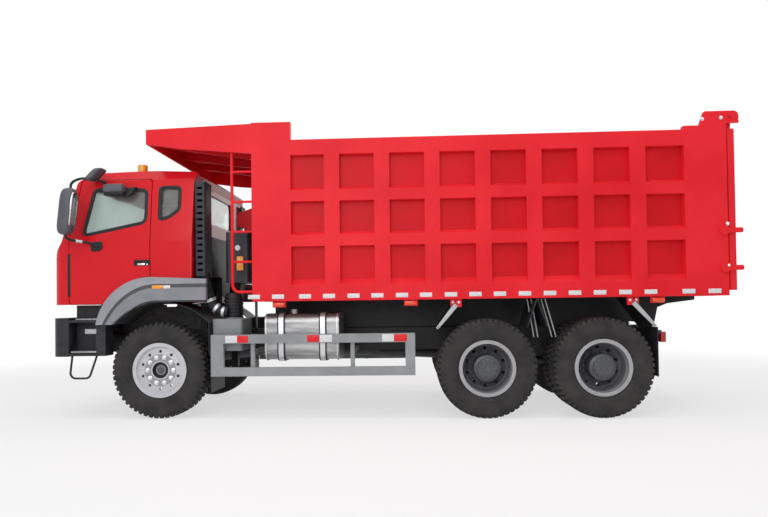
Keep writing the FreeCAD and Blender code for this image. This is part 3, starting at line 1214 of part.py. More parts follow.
def front_rim(way):
    y = WHEEL_FRONT_Y
    seat = BEAD_RADIUS - SEAT_GAP
    edge = BEAD_HALF_WIDTH + SEAT_GAP
    well = RIM_WELL_RADIUS
    barrel = [(seat, y - edge), (RIM_FLANGE_RADIUS, y - edge), (RIM_FLANGE_RADIUS, y - edge - RIM_EDGE),
              (seat - RIM_PLATE, y - edge - RIM_EDGE), (seat - RIM_PLATE, y - edge * 0.6),
              (well - RIM_PLATE, y - edge * 0.4),
              (well - RIM_PLATE, y + edge * 0.3), (HUB_HOLE_RADIUS * 1.8,
                                                   y + FRONT_DISC_OUT - DISC_PLATE),
              (HUB_HOLE_RADIUS, y + FRONT_DISC_OUT - DISC_PLATE), (HUB_HOLE_RADIUS, y + FRONT_DISC_OUT),
              (HUB_HOLE_RADIUS * 2.1, y + FRONT_DISC_OUT), (well, y + edge * 0.75),
              (seat - RIM_PLATE, y + edge),
              (seat - RIM_PLATE, y + edge + RIM_EDGE), (RIM_FLANGE_RADIUS, y + edge + RIM_EDGE),
              (RIM_FLANGE_RADIUS, y + edge),
              (seat, y + edge)]
    rim = turned(barrel, FRONT_AXLE_X, AXLE_Z, way)
    bore = SPINDLE_RADIUS + SHAFT_GAP
    disc_back = y + FRONT_DISC_OUT - DISC_PLATE
    hub_out = y + HUB_CAP_OUT
    drum_in = KNUCKLE_BLOCK_TO + MOVING_GAP
    hub = turned([(bore, drum_in), (DRUM_RADIUS, drum_in), (DRUM_RADIUS, drum_in + DRUM_WALL * 2),
                  (HUB_HOLE_RADIUS * 1.7, drum_in + DRUM_WALL * 3),
                  (HUB_HOLE_RADIUS * 1.7, disc_back), (HUB_HOLE_RADIUS * 0.98, disc_back),
                  (HUB_HOLE_RADIUS * 0.98, disc_back - DISC_PLATE),
                  (HUB_CAP_RADIUS, disc_back - DISC_PLATE), (HUB_CAP_RADIUS, hub_out), (0, hub_out),
                  (0, hub_out - DISC_PLATE + SEAT_GAP), (bore, hub_out - DISC_PLATE + SEAT_GAP)],
                 FRONT_AXLE_X, AXLE_Z, way)
    body = joined([rim, hub])
    nuts = ring_of(NUT_COUNT, NUT_CIRCLE_RADIUS, FRONT_AXLE_X, way * (y + FRONT_DISC_OUT - SEAT_GAP),
                   way * (y + FRONT_DISC_OUT + NUT_HEIGHT), NUT_RADIUS, 0)
    holes = ring_of(NUT_COUNT, HAND_HOLE_CIRCLE, FRONT_AXLE_X, way * (y - CUT_OVERRUN / 2.0),
                    way * (y + edge + CUT_OVERRUN), HAND_HOLE_RADIUS, 0.5)
    body = body.cut(Part.makeCompound(holes))
    return joined([body] + nuts)


def ring_of(count, circle, x, y_start, y_end, radius, phase):
    """Round bars along y, evenly spaced on a circle about a wheel's centre."""
    bars = []
    for index in range(count):
        angle = 2.0 * math.pi * (index + phase) / count
        at = vec(x + circle * math.cos(angle), y_start, AXLE_Z + circle * math.sin(angle))
        bars.append(rod(at, vec(at.x, y_end, at.z), radius))
    return bars


def rear_rims(x, way):
    """Two deep rims whose discs meet between the tyres, on one hub with a planetary end."""
    seat = BEAD_RADIUS - SEAT_GAP
    edge = BEAD_HALF_WIDTH + SEAT_GAP
    well = RIM_WELL_RADIUS
    meet = (WHEEL_REAR_Y + TWIN_INNER_Y) / 2.0
    outer = WHEEL_REAR_Y
    inner = TWIN_INNER_Y
    out_rim = [(seat, outer - edge), (RIM_FLANGE_RADIUS, outer - edge),
               (RIM_FLANGE_RADIUS, outer - edge - RIM_EDGE),
               (well - RIM_PLATE, outer - edge - RIM_EDGE), (PLANET_HUB_RADIUS * 1.25, meet),
               (PLANET_HUB_RADIUS * 0.8, meet), (PLANET_HUB_RADIUS * 0.8, meet + DISC_PLATE),
               (PLANET_HUB_RADIUS * 1.3, meet + DISC_PLATE), (well - RIM_PLATE, outer - edge * 0.8),
               (seat - RIM_PLATE, outer + edge * 0.5), (seat - RIM_PLATE, outer + edge + RIM_EDGE),
               (RIM_FLANGE_RADIUS, outer + edge + RIM_EDGE), (RIM_FLANGE_RADIUS, outer + edge),
               (seat, outer + edge)]
    in_rim = [(seat, inner - edge), (RIM_FLANGE_RADIUS, inner - edge),
              (RIM_FLANGE_RADIUS, inner - edge - RIM_EDGE),
              (seat - RIM_PLATE, inner - edge - RIM_EDGE), (well - RIM_PLATE, inner + edge * 0.6),
              (PLANET_HUB_RADIUS * 1.3, meet - DISC_PLATE), (PLANET_HUB_RADIUS * 0.8, meet - DISC_PLATE),
              (PLANET_HUB_RADIUS * 0.8, meet), (PLANET_HUB_RADIUS * 1.3, meet),
              (well, inner + edge + RIM_EDGE),
              (RIM_FLANGE_RADIUS, inner + edge + RIM_EDGE), (RIM_FLANGE_RADIUS, inner + edge),
              (seat, inner + edge)]
    bore = SPINDLE_RADIUS + SHAFT_GAP
    drum_in = TWIN_INNER_Y - TYRE_WIDTH / 2.0 + MOVING_GAP
    bore_end = WHEEL_REAR_Y - TWIN_SPACING / 4.0 + SEAT_GAP
    hub_end = outer + PLANET_HUB_OUT
    hub = [(bore, drum_in), (DRUM_RADIUS, drum_in), (DRUM_RADIUS, drum_in + DRUM_LENGTH),
           (PLANET_HUB_RADIUS * 0.9, drum_in + DRUM_LENGTH + DRUM_WALL),
           (PLANET_HUB_RADIUS * 0.9, meet), (PLANET_HUB_RADIUS, meet),
           (PLANET_HUB_RADIUS, hub_end - DISC_PLATE), (PLANET_CAP_RADIUS, hub_end),
           (PLANET_CAP_RADIUS * 0.8, outer + PLANET_CAP_OUT), (0, outer + PLANET_CAP_OUT),
           (0, bore_end), (bore, bore_end)]
    body = joined([turned(out_rim, x, AXLE_Z, way), turned(in_rim, x, AXLE_Z, way),
                   turned(hub, x, AXLE_Z, way)])
    holes = ring_of(NUT_COUNT, HAND_HOLE_CIRCLE * 0.99, x, way * (inner + edge / 2.0),
                    way * (outer + edge / 4.0), HAND_HOLE_RADIUS * 1.1, 0.5)
    return body.cut(Part.makeCompound(holes))


# Left side: the fuel tank on its straps, and the air filter box under its ribbed dome.
def fuel_tank():
    length = TANK_REAR - TANK_FRONT
    face = rectangle(-TANK_OUTER_Y, -TANK_INNER_Y, TANK_BOTTOM, TANK_TOP)
    body = front_slab(face, TANK_ROUND, TANK_FRONT, TANK_REAR)
    pieces = [body]
    for share in STRAP_SHARES:
        middle = TANK_FRONT + share * length
        grown = rectangle(-TANK_OUTER_Y - STRAP_THICK, -TANK_INNER_Y + STRAP_THICK,
                          TANK_BOTTOM - STRAP_THICK, TANK_TOP + STRAP_THICK)
        strap = front_slab(grown, TANK_ROUND + STRAP_THICK, middle - STRAP_WIDTH / 2.0,
                           middle + STRAP_WIDTH / 2.0)
        pieces.append(strap)
        pieces.append(block(middle - STRAP_WIDTH / 2.0, middle + STRAP_WIDTH / 2.0,
                            -TANK_INNER_Y - STRAP_THICK,
                            -RAIL_HALF_SPACING - SEAT_GAP, TANK_BOTTOM + TANK_ROUND,
                            RAIL_TOP - RAIL_FLANGE))
    cap_x = TANK_FRONT + FILLER_SHARE * length
    pieces.append(rod(vec(cap_x, -FILLER_Y, TANK_TOP - STRAP_THICK),
                      vec(cap_x, -FILLER_Y, TANK_TOP + FILLER_HEIGHT), FILLER_RADIUS))
    return joined(pieces)


def air_filter():
    box = top_slab(rectangle(FILTER_FRONT, FILTER_REAR, -FILTER_OUTER_Y, -FILTER_INNER_Y), FILTER_ROUND,
                   FILTER_BOTTOM, FILTER_TOP)
    middle_y = -(FILTER_OUTER_Y + FILTER_INNER_Y) / 2.0
    dome_z = FILTER_TOP - SEAT_GAP
    profile = [(0, dome_z), (DOME_RADIUS, dome_z)]
    pitch = (DOME_TOP - DOME_RADIUS / 2.0 - FILTER_TOP) / DOME_RIBS
    for rib in range(DOME_RIBS):
        z = FILTER_TOP + rib * pitch
        profile.append((DOME_RADIUS, z + pitch * 0.55))
        profile.append((DOME_RADIUS - DOME_RIB_HEIGHT, z + pitch * 0.65))
        profile.append((DOME_RADIUS - DOME_RIB_HEIGHT, z + pitch * 0.9))
        profile.append((DOME_RADIUS, z + pitch))
    profile.append((DOME_RADIUS * 0.75, DOME_TOP))
    profile.append((0, DOME_TOP))
    wire = Part.makePolygon([vec(DOME_X + r, middle_y, z) for r, z in profile + profile[:1]])
    dome = Part.Face(wire).revolve(vec(DOME_X, middle_y, 0), Z_WAY, 360)
    arm = block(FILTER_FRONT + FILTER_ROUND, FILTER_REAR - FILTER_ROUND, -FILTER_INNER_Y - FILTER_ROUND,
                -RAIL_HALF_SPACING - SEAT_GAP, RAIL_TOP - RAIL_FLANGE * 2, RAIL_TOP - RAIL_FLANGE)
    return joined([box, dome, arm])


def side_guard(way):
    """Flat frame of square tube beside the chassis, held by three arms from the frame rail."""
    outer_y = GUARD_OUTER_Y
    inner_y = outer_y - GUARD_TUBE_DEPTH
    frame = side_slab(rectangle(GUARD_FRONT, GUARD_REAR, GUARD_BOTTOM, GUARD_TOP), 0, -outer_y, -inner_y)
    opening = side_slab(rectangle(GUARD_FRONT + GUARD_FRONT_POST, GUARD_REAR - GUARD_REAR_POST,
                                  GUARD_BOTTOM + GUARD_RAIL,
                                  GUARD_TOP - GUARD_RAIL), 0, -outer_y - CUT_OVERRUN,
                        -inner_y + CUT_OVERRUN)
    pieces = [frame.cut(opening)]
    for place in GUARD_BRACKET_PLACES:
        upright = block(place, place + GUARD_BRACKET, -inner_y - SEAT_GAP, -inner_y + GUARD_BRACKET,
                        GUARD_BOTTOM, GUARD_TOP)
        pieces.append(upright)
        pieces.append(block(place, place + GUARD_BRACKET, -inner_y, -RAIL_HALF_SPACING - SEAT_GAP,
                            RAIL_TOP - RAIL_HEIGHT + RAIL_PLATE,
                            RAIL_TOP - RAIL_HEIGHT + RAIL_PLATE + GUARD_BRACKET))
    guard = joined(pieces)
    return guard if way < 0 else other_side(guard)


# Right side: battery box, silencer and an air tank.
def battery_box():
    box = top_slab(rectangle(BATTERY_FRONT, BATTERY_REAR, BATTERY_INNER_Y, BATTERY_OUTER_Y),
                   BATTERY_ROUND, BATTERY_BOTTOM, BATTERY_TOP)
    arm = block(BATTERY_FRONT + BATTERY_ROUND, BATTERY_REAR - BATTERY_ROUND, RAIL_HALF_SPACING + SEAT_GAP,
                BATTERY_INNER_Y + BATTERY_ROUND, RAIL_TOP - RAIL_FLANGE * 2, RAIL_TOP - RAIL_FLANGE)
    return joined([box, arm])


def exhaust_and_air():
    silencer = rod(vec(SILENCER_FRONT, SILENCER_Y, SILENCER_Z),
                   vec(SILENCER_REAR, SILENCER_Y, SILENCER_Z), SILENCER_RADIUS)
    length = SILENCER_REAR - SILENCER_FRONT
    straps = []
    for share in STRAP_SHARES:
        middle = SILENCER_FRONT + share * length
        straps.append(rod(vec(middle - STRAP_WIDTH / 2.0, SILENCER_Y, SILENCER_Z),
                          vec(middle + STRAP_WIDTH / 2.0, SILENCER_Y, SILENCER_Z),
                          SILENCER_RADIUS + STRAP_THICK))
        straps.append(block(middle - STRAP_WIDTH / 2.0, middle + STRAP_WIDTH / 2.0,
                            RAIL_HALF_SPACING + SEAT_GAP,
                            SILENCER_Y, SILENCER_Z - STRAP_WIDTH / 2.0, SILENCER_Z + STRAP_WIDTH / 2.0))
    pipe = rod(vec(SILENCER_REAR - CUT_OVERRUN, SILENCER_Y, SILENCER_Z),
               vec(SILENCER_REAR + SHAFT_RADIUS * 2, SILENCER_Y, SILENCER_Z), SHAFT_RADIUS)
    tank = rod(vec(AIR_TANK_FRONT, AIR_TANK_Y, AIR_TANK_Z), vec(AIR_TANK_REAR, AIR_TANK_Y, AIR_TANK_Z),
               AIR_TANK_RADIUS)
    arm = block((AIR_TANK_FRONT + AIR_TANK_REAR) / 2.0 - STRAP_WIDTH,
                (AIR_TANK_FRONT + AIR_TANK_REAR) / 2.0 + STRAP_WIDTH,
                RAIL_HALF_SPACING + SEAT_GAP, AIR_TANK_Y, AIR_TANK_Z - STRAP_THICK,
                AIR_TANK_Z + STRAP_THICK)
    return [joined([silencer, pipe] + straps), joined([tank, arm])]


# Behind the cab: the air intake stack with its slotted face, the hydraulic oil tank on its stand
# over the frame, and the beacon on the roof.
def intake_stack():
    plan = rectangle(STACK_FRONT, STACK_REAR, -STACK_OUTER_Y, -STACK_INNER_Y)
    stack = top_slab(plan, STACK_ROUND, STACK_BOTTOM, STACK_TOP)
    inner = rectangle(STACK_FRONT + STACK_WALL, STACK_REAR - STACK_WALL, -STACK_OUTER_Y + STACK_WALL,
                      -STACK_INNER_Y - STACK_WALL)
    stack = stack.cut(top_slab(inner, STACK_ROUND - STACK_WALL, STACK_BOTTOM + STACK_WALL,
                               STACK_TOP - STACK_WALL))
    pitch = (STACK_TOP - STACK_BOTTOM) / (STACK_SLOTS + 1.0)
    middle = (STACK_FRONT + STACK_REAR) / 2.0
    slots = []
    for index in range(STACK_SLOTS):
        z = STACK_BOTTOM + pitch * (index + 1)
        slots.append(block(middle - STACK_SLOT_LENGTH / 2.0, middle + STACK_SLOT_LENGTH / 2.0,
                           -STACK_OUTER_Y - CUT_OVERRUN,
                           -STACK_OUTER_Y + STACK_WALL * 2, z - STACK_SLOT_HEIGHT / 2.0,
                           z + STACK_SLOT_HEIGHT / 2.0))
    stack = stack.cut(Part.makeCompound(slots))
    rail_y = RAIL_HALF_SPACING - RAIL_FLANGE / 2.0
    arm_low = middle - STACK_SLOT_LENGTH / 2.0
    foot = block(arm_low, STACK_REAR - STACK_ROUND, -rail_y - STACK_WALL, -rail_y + STACK_WALL,
                 RAIL_TOP + RAIL_PLATE + SEAT_GAP, STACK_BOTTOM + STACK_WALL)
    arm = block(arm_low, STACK_REAR - STACK_ROUND, -STACK_INNER_Y - STACK_WALL, -rail_y, STACK_BOTTOM,
                STACK_BOTTOM + STACK_WALL)
    return joined([stack, foot, arm])


def oil_tank():
    plan = rectangle(OIL_TANK_FRONT, OIL_TANK_REAR, -OIL_TANK_OUTER_Y, -OIL_TANK_INNER_Y)
    tank = top_slab(plan, OIL_TANK_ROUND, OIL_TANK_BOTTOM, OIL_TANK_TOP)
    stand = []
    for x in (OIL_TANK_FRONT + OIL_TANK_ROUND, OIL_TANK_REAR - OIL_TANK_ROUND - OIL_STAND_THICK):
        stand.append(block(x, x + OIL_STAND_THICK, -RAIL_HALF_SPACING - OIL_TANK_ROUND,
                           -OIL_TANK_INNER_Y - OIL_TANK_ROUND,
                           RAIL_TOP + SEAT_GAP, OIL_TANK_BOTTOM + SEAT_GAP))
    return joined([tank] + stand)


def cab_mounts():
    """Posts between the frame rails and the cab's rear wall and floor, with the spring units."""
    half = CAB_MOUNT_HALF_WIDTH
    y = RAIL_HALF_SPACING - RAIL_FLANGE / 2.0
    rear = block(CAB_MOUNT_X - half, CAB_MOUNT_X + half, -y - half, -y + half, RAIL_TOP + SEAT_GAP,
                 CAB_BOTTOM - SEAT_GAP)
    front = block(-RAIL_FRONT, -RAIL_FRONT + half * 2, -y - half, -y + half, RAIL_TOP + SEAT_GAP,
                  CAB_BOTTOM - SEAT_GAP)
    return [rear, other_side(rear), front, other_side(front)]


def lamps():
    pieces = [lamp_block(-1, SEAT_GAP), lamp_block(1, SEAT_GAP)]
    tail = block(RAIL_REAR - TAIL_LAMP_DEPTH, RAIL_REAR, -TAIL_LAMP_Y - TAIL_LAMP_WIDTH / 2.0,
                 -TAIL_LAMP_Y + TAIL_LAMP_WIDTH / 2.0,
                 TAIL_LAMP_Z - TAIL_LAMP_HEIGHT / 2.0, TAIL_LAMP_Z + TAIL_LAMP_HEIGHT / 2.0)
    arm = block(RAIL_REAR - TAIL_LAMP_DEPTH, RAIL_REAR - TAIL_LAMP_DEPTH / 2.0, -TAIL_LAMP_Y,
                -RAIL_HALF_SPACING - HINGE_PLATE - SEAT_GAP,
                 TAIL_LAMP_Z - TAIL_LAMP_HEIGHT / 4.0, TAIL_LAMP_Z + TAIL_LAMP_HEIGHT / 4.0)
    tail = joined([tail, arm])
    pieces.extend([tail, other_side(tail)])
    roof_run = ROOF_MIDDLE_X + FRONT_OVERHANG - ROOF_FRONT_BACKSET
    share = (ROOF_MIDDLE_X - BEACON_X - BEACON_RADIUS) / roof_run
    roof = ROOF_MIDDLE_Z + share * (ROOF_FRONT_Z - ROOF_MIDDLE_Z)
    pieces.append(rod(vec(BEACON_X, -BEACON_Y, roof + SEAT_GAP),
                      vec(BEACON_X, -BEACON_Y, roof + BEACON_HEIGHT), BEACON_RADIUS))
    return pieces


# Bed: floor, front wall and side walls are plates that butt against each other.
def bed_box():
    wall_y = BED_HALF_WIDTH - RIB_DEPTH
    inner = wall_y - BED_PLATE
    front_rear = BED_FRONT + BED_PLATE * 2
    front = block(BED_FRONT, front_rear, -wall_y, wall_y, BED_BOTTOM, FRONT_POST_TOP)
    floor = block(front_rear, REAR_POST_REAR, -inner, inner, BED_FLOOR_TOP - BED_FLOOR_THICK,
                  BED_FLOOR_TOP)
    side = block(front_rear, REAR_POST_REAR, -wall_y, -inner, BED_BOTTOM, BED_RAIL_TOP)
    return [front, floor, side, other_side(side)]


def bed_rail(low, top, ledge):
    """Rail along one side of the bed between the corner posts; its top slopes outwards by the
    ledge's height, so that spilled stone slides off."""
    half = BED_HALF_WIDTH
    wall_y = half - RIB_DEPTH
    face = [(-half, low), (-wall_y, low), (-wall_y, top), (-half, top - ledge)]
    return front_slab(face, 0, FRONT_POST_REAR, REAR_POST_FRONT)


def bed_ribs():
    """Corner posts, four rails and the upright ribs of both sides."""
    half = BED_HALF_WIDTH
    wall_y = half - RIB_DEPTH
    pieces = [block(BED_FRONT, FRONT_POST_REAR, -half, -wall_y, BED_BOTTOM, FRONT_POST_TOP),
              block(REAR_POST_FRONT, REAR_POST_REAR, -half, -wall_y, BED_BOTTOM, REAR_POST_TOP),
              bed_rail(BED_BOTTOM, LOWER_BAND_TOP, LOWER_LEDGE_RISE),
              bed_rail(BED_RAIL_TOP - BED_RAIL_HEIGHT, BED_RAIL_TOP, 0)]
    for low in (MID_RAIL_LOW_Z, MID_RAIL_HIGH_Z):
        pieces.append(bed_rail(low, low + MID_RAIL_HEIGHT + LEDGE_RISE, LEDGE_RISE))
    pitch = (POST_LAST - POST_FIRST) / (POST_COUNT - 1)
    for index in range(POST_COUNT):
        x = POST_FIRST + pitch * index
        pieces.append(block(x, x + POST_WIDTH, -half, -wall_y, BED_BOTTOM, BED_RAIL_TOP))
    left = joined(pieces)
    return [left, other_side(left)]


def canopy():
    half = BED_HALF_WIDTH
    plate = CANOPY_PLATE
    root = BED_FRONT - SEAT_GAP
    side = [(CANOPY_TIP_X, CANOPY_TIP_LOW), (CANOPY_BREAK_X, CANOPY_BREAK_Z), (root, CANOPY_ROOT_LOW),
            (root, CANOPY_ROOT_TOP), (CANOPY_TIP_X, CANOPY_TIP_TOP)]
    cheek = side_slab(side, 0, -half, -half + plate)
    top = side_slab([(CANOPY_TIP_X, CANOPY_TIP_TOP - plate), (root, CANOPY_ROOT_TOP - plate),
                     (root, CANOPY_ROOT_TOP),
                     (CANOPY_TIP_X, CANOPY_TIP_TOP)], 0, -half, half)
    lip = side_slab([(CANOPY_TIP_X, CANOPY_TIP_LOW), (CANOPY_TIP_X + plate, CANOPY_TIP_LOW),
                     (CANOPY_TIP_X + plate, CANOPY_TIP_TOP),
                     (CANOPY_TIP_X, CANOPY_TIP_TOP)], 0, -half, half)
    pieces = [cheek, other_side(cheek), top, lip]
    for y in (-half * 0.5, 0.0, half * 0.5):
        rib = side_slab([(CANOPY_TIP_X, CANOPY_TIP_TOP - plate * 3), (root, CANOPY_ROOT_LOW + plate * 2),
                         (root, CANOPY_ROOT_TOP - plate / 2.0),
                         (CANOPY_TIP_X, CANOPY_TIP_TOP - plate / 2.0)], 0, y - plate / 2.0,
                        y + plate / 2.0)
        pieces.append(rib)
    return joined(pieces)


def ladder():
    y = -LADDER_Y
    rear = BED_FRONT - SEAT_GAP
    loop = bent_tube([vec(rear, y, LADDER_TOP), vec(LADDER_FRONT, y, LADDER_TOP),
                      vec(LADDER_FRONT, y, LADDER_BOTTOM),
                      vec(rear, y, LADDER_BOTTOM)], LADDER_BEND, LADDER_TUBE)
    pieces = [loop]
    pitch = (LADDER_TOP - LADDER_BOTTOM) / (LADDER_RUNGS + 1.0)
    for index in range(LADDER_RUNGS):
        z = LADDER_BOTTOM + pitch * (index + 1)
        pieces.append(rod(vec(LADDER_FRONT, y, z), vec(rear, y, z), LADDER_TUBE * 0.8))
    return joined(pieces)


def bed_subframe():
    """Two sleepers over the chassis rails, cross bearers under the floor, and the hinge ears."""
    inner = SLEEPER_HALF_SPACING - SLEEPER_WIDTH
    floor_low = BED_FLOOR_TOP - BED_FLOOR_THICK
    end = REAR_POST_REAR - CUT_OVERRUN
    raised = HINGE_Z + HINGE_SHAFT_RADIUS + CUT_OVERRUN + MOVING_GAP
    sleeper = side_slab([(SLEEPER_FRONT, SLEEPER_BOTTOM),
                         (HINGE_X - HINGE_BOSS_RADIUS * 4, SLEEPER_BOTTOM),
                         (HINGE_X - HINGE_BOSS_RADIUS, raised),
                         (HINGE_X + HINGE_BOSS_RADIUS * 4, BED_BOTTOM - BEARER_WIDTH),
                         (end, BED_BOTTOM - BEARER_WIDTH / 2.0), (end, BED_BOTTOM + SEAT_GAP),
                         (SLEEPER_FRONT, BED_BOTTOM + SEAT_GAP)], 0, inner, SLEEPER_HALF_SPACING)
    pieces = [sleeper, other_side(sleeper)]
    reach = BED_HALF_WIDTH - RIB_DEPTH - BED_PLATE - SEAT_GAP
    count = int((end - SLEEPER_FRONT) // BEARER_PITCH)
    pitch = (end - SLEEPER_FRONT - BEARER_WIDTH) / count
    for index in range(count + 1):
        x = SLEEPER_FRONT + pitch * index
        pieces.append(block(x, x + BEARER_WIDTH, -reach, reach, BED_BOTTOM, floor_low))
    ear_low = RAIL_HALF_SPACING + HINGE_PLATE + MOVING_GAP
    ear = side_slab([(HINGE_X - HINGE_BOSS_RADIUS, HINGE_Z - HINGE_BOSS_RADIUS),
                     (HINGE_X + HINGE_BOSS_RADIUS, HINGE_Z - HINGE_BOSS_RADIUS),
                     (HINGE_X + EAR_FOOT_HALF_WIDTH, BED_BOTTOM + BEARER_WIDTH / 2.0),
                     (HINGE_X - EAR_FOOT_HALF_WIDTH, BED_BOTTOM + BEARER_WIDTH / 2.0)],
                    [HINGE_BOSS_RADIUS * 0.8, HINGE_BOSS_RADIUS * 0.8, 0, 0], ear_low,
                    ear_low + HINGE_EAR)
    hole = rod(vec(HINGE_X, ear_low - CUT_OVERRUN, HINGE_Z),
               vec(HINGE_X, ear_low + HINGE_EAR + CUT_OVERRUN, HINGE_Z), HINGE_SHAFT_RADIUS + SHAFT_GAP)
    ear = ear.cut(hole)
    tie = block(HINGE_X - EAR_FOOT_HALF_WIDTH, HINGE_X + EAR_FOOT_HALF_WIDTH, -ear_low - HINGE_EAR,
                ear_low + HINGE_EAR,
                BED_BOTTOM, BED_BOTTOM + BEARER_WIDTH)
    pieces.extend([ear, other_side(ear), tie])
    return joined(pieces)


def rear_mudguards():
    """Sloped plates in front of, between and behind the rear wheels, hung under the bed."""
    top = BED_BOTTOM - SEAT_GAP
    runs = [((MUD_FRONT_TOP_X, top), (MUD_FRONT_LOW_X, MUD_LOW_Z)),
            ((MUD_REAR_TOP_X, top), (MUD_REAR_LOW_X, MUD_LOW_Z))]
    plates = []
    for start, end in runs:
        plates.append(side_slab([start, (start[0] + MUD_PLATE, start[1]), (end[0] + MUD_PLATE, end[1]),
                                 end], 0, -MUD_OUTER_Y, -MUD_INNER_Y))
    middle = side_slab([(MUD_MIDDLE_X - MUD_PLATE, top), (MUD_MIDDLE_X + MUD_PLATE, top),
                        (MUD_MIDDLE_X + MUD_MIDDLE_SPREAD, MUD_LOW_Z),
                        (MUD_MIDDLE_X + MUD_MIDDLE_SPREAD - MUD_PLATE, MUD_LOW_Z),
                        (MUD_MIDDLE_X, top - MUD_PLATE * 3),
                        (MUD_MIDDLE_X - MUD_MIDDLE_SPREAD + MUD_PLATE, MUD_LOW_Z),
                        (MUD_MIDDLE_X - MUD_MIDDLE_SPREAD, MUD_LOW_Z)],
                       0, -MUD_OUTER_Y, -MUD_INNER_Y)
    plates.append(middle)
    result = []
    for plate in plates:
        result.append(plate)
        result.append(other_side(plate))
    return result


# Tailgate: a ribbed panel hung on two round pins at its top edge, between the bed's hinge plates.
def tailgate():
    half = BED_HALF_WIDTH
    panel = block(GATE_FRONT, GATE_FRONT + GATE_PANEL, -half, half, GATE_BOTTOM, GATE_TOP)
    pieces = [panel]
    height = GATE_TOP - GATE_BOTTOM
    band = BED_RAIL_HEIGHT * 0.75
    for index in range(GATE_RIBS):
        z = GATE_BOTTOM + (height - band) * index / (GATE_RIBS - 1)
        pieces.append(block(GATE_FRONT + GATE_PANEL, GATE_FRONT + GATE_PANEL + GATE_RIB_DEPTH, -half,
                            half, z, z + band))
    for y in (-half, -half * 0.36, half * 0.36 - POST_WIDTH, half - POST_WIDTH):
        pieces.append(block(GATE_FRONT + GATE_PANEL, GATE_FRONT + GATE_PANEL + GATE_RIB_DEPTH, y,
                            y + POST_WIDTH, GATE_BOTTOM, GATE_TOP))
    for way in (-1, 1):
        y_low = min(way * GATE_HANGER_Y, way * (GATE_HANGER_Y + GATE_HANGER_THICK))
        hanger = side_slab([(GATE_FRONT, GATE_TOP - LEDGE_RISE),
                            (GATE_FRONT + GATE_PANEL + GATE_RIB_DEPTH, GATE_TOP - LEDGE_RISE),
                            (GATE_HINGE_X + GATE_PIN_RADIUS * 2, GATE_HINGE_Z + GATE_PIN_RADIUS * 2),
                            (GATE_HINGE_X - GATE_PIN_RADIUS * 2, GATE_HINGE_Z + GATE_PIN_RADIUS * 2)],
                           [0, 0, GATE_PIN_RADIUS * 1.7, GATE_PIN_RADIUS * 1.7], y_low,
                           y_low + GATE_HANGER_THICK)
        pin_end = half - HINGE_PLATE_THICK - MOVING_GAP
        pin = rod(vec(GATE_HINGE_X, way * GATE_HANGER_Y, GATE_HINGE_Z),
                  vec(GATE_HINGE_X, way * (pin_end + MOVING_GAP + HINGE_PLATE_THICK / 2.0),
                      GATE_HINGE_Z), GATE_PIN_RADIUS)
        pieces.extend([hanger, pin])
    return joined(pieces)


def gate_hardware():
    """Hinge plates on the rear posts' tops, and the latch hooks on the posts beside the gate."""
    half = BED_HALF_WIDTH
    outer = -half
    inner = -half + HINGE_PLATE_THICK
    plate = side_slab([(HINGE_PLATE_FRONT, REAR_POST_TOP), (REAR_POST_REAR, REAR_POST_TOP),
                       (REAR_POST_REAR, HINGE_PLATE_LOW),
                       (HINGE_PLATE_REAR, HINGE_PLATE_LOW), (HINGE_PLATE_REAR, HINGE_PLATE_TOP),
                       (HINGE_PLATE_FRONT + CAB_WALL, HINGE_PLATE_TOP)],
                      [0, 0, 0, 0, HINGE_PLATE_THICK * 2, HINGE_PLATE_THICK], outer, inner)
    hole = rod(vec(GATE_HINGE_X, -half - CUT_OVERRUN, GATE_HINGE_Z),
               vec(GATE_HINGE_X, inner + CUT_OVERRUN, GATE_HINGE_Z), GATE_PIN_RADIUS + SHAFT_GAP)
    plate = plate.cut(hole)
    pieces = [plate, other_side(plate)]
    for z in HOOK_PLACES:
        boss = rod(vec(HOOK_PIN_X, outer - SEAT_GAP, z), vec(HOOK_PIN_X, outer - HOOK_THICK, z),
                   HOOK_BOSS_RADIUS)
        arm = side_slab([(HOOK_PIN_X, z - HOOK_ARM_HEIGHT / 2.0),
                         (HOOK_END_X, z - HOOK_ARM_HEIGHT / 2.0), (HOOK_END_X, z + HOOK_ARM_HEIGHT / 2.0),
                         (HOOK_PIN_X, z + HOOK_ARM_HEIGHT / 2.0)],
                        [0, HOOK_ARM_HEIGHT / 3.0, HOOK_ARM_HEIGHT / 3.0, 0], outer - HOOK_THICK,
                        outer - MOVING_GAP)
        hook = joined([boss, arm])
        pieces.extend([hook, other_side(hook)])
    return pieces


# Hoist: a trunnion barrel with three sliding stages; the last one ends in an eye between two
# ears on the bed's front wall. Lengths follow from where its two pins are.
def hoist_line():
    base_x, eye_x, reach = hoist_points()
    base = vec(base_x, 0, HOIST_BASE_Z)
    eye = vec(eye_x, 0, HOIST_EYE_Z)
    way = eye.sub(base)
    closed = way.Length
    way.normalize()
    return base, eye, way, closed


def along(base, way, distance):
    return base.add(vec(way.x, way.y, way.z).multiply(distance))


def hoist_barrel():
    base, eye, way, closed = hoist_line()
    foot = -HOIST_BARREL_BACKSET
    end = closed - HOIST_EYE_RADIUS - HOIST_COLLAR * HOIST_STAGES - HOIST_COLLAR
    outer = rod(along(base, way, foot), along(base, way, end), HOIST_BARREL_RADIUS)
    bore = rod(along(base, way, foot + HOIST_WALL * 2), along(base, way, end + CUT_OVERRUN),
               HOIST_BARREL_RADIUS - HOIST_WALL)
    tube = outer.cut(bore)
    inner = HOIST_BARREL_RADIUS + MOVING_GAP + TRUNNION_PLATE
    stubs = []
    for side in (-1, 1):
        stubs.append(rod(vec(base.x, side * (HOIST_BARREL_RADIUS - HOIST_WALL / 2.0), base.z),
                         vec(base.x, side * inner, base.z), TRUNNION_RADIUS))
    return joined([tube] + stubs)


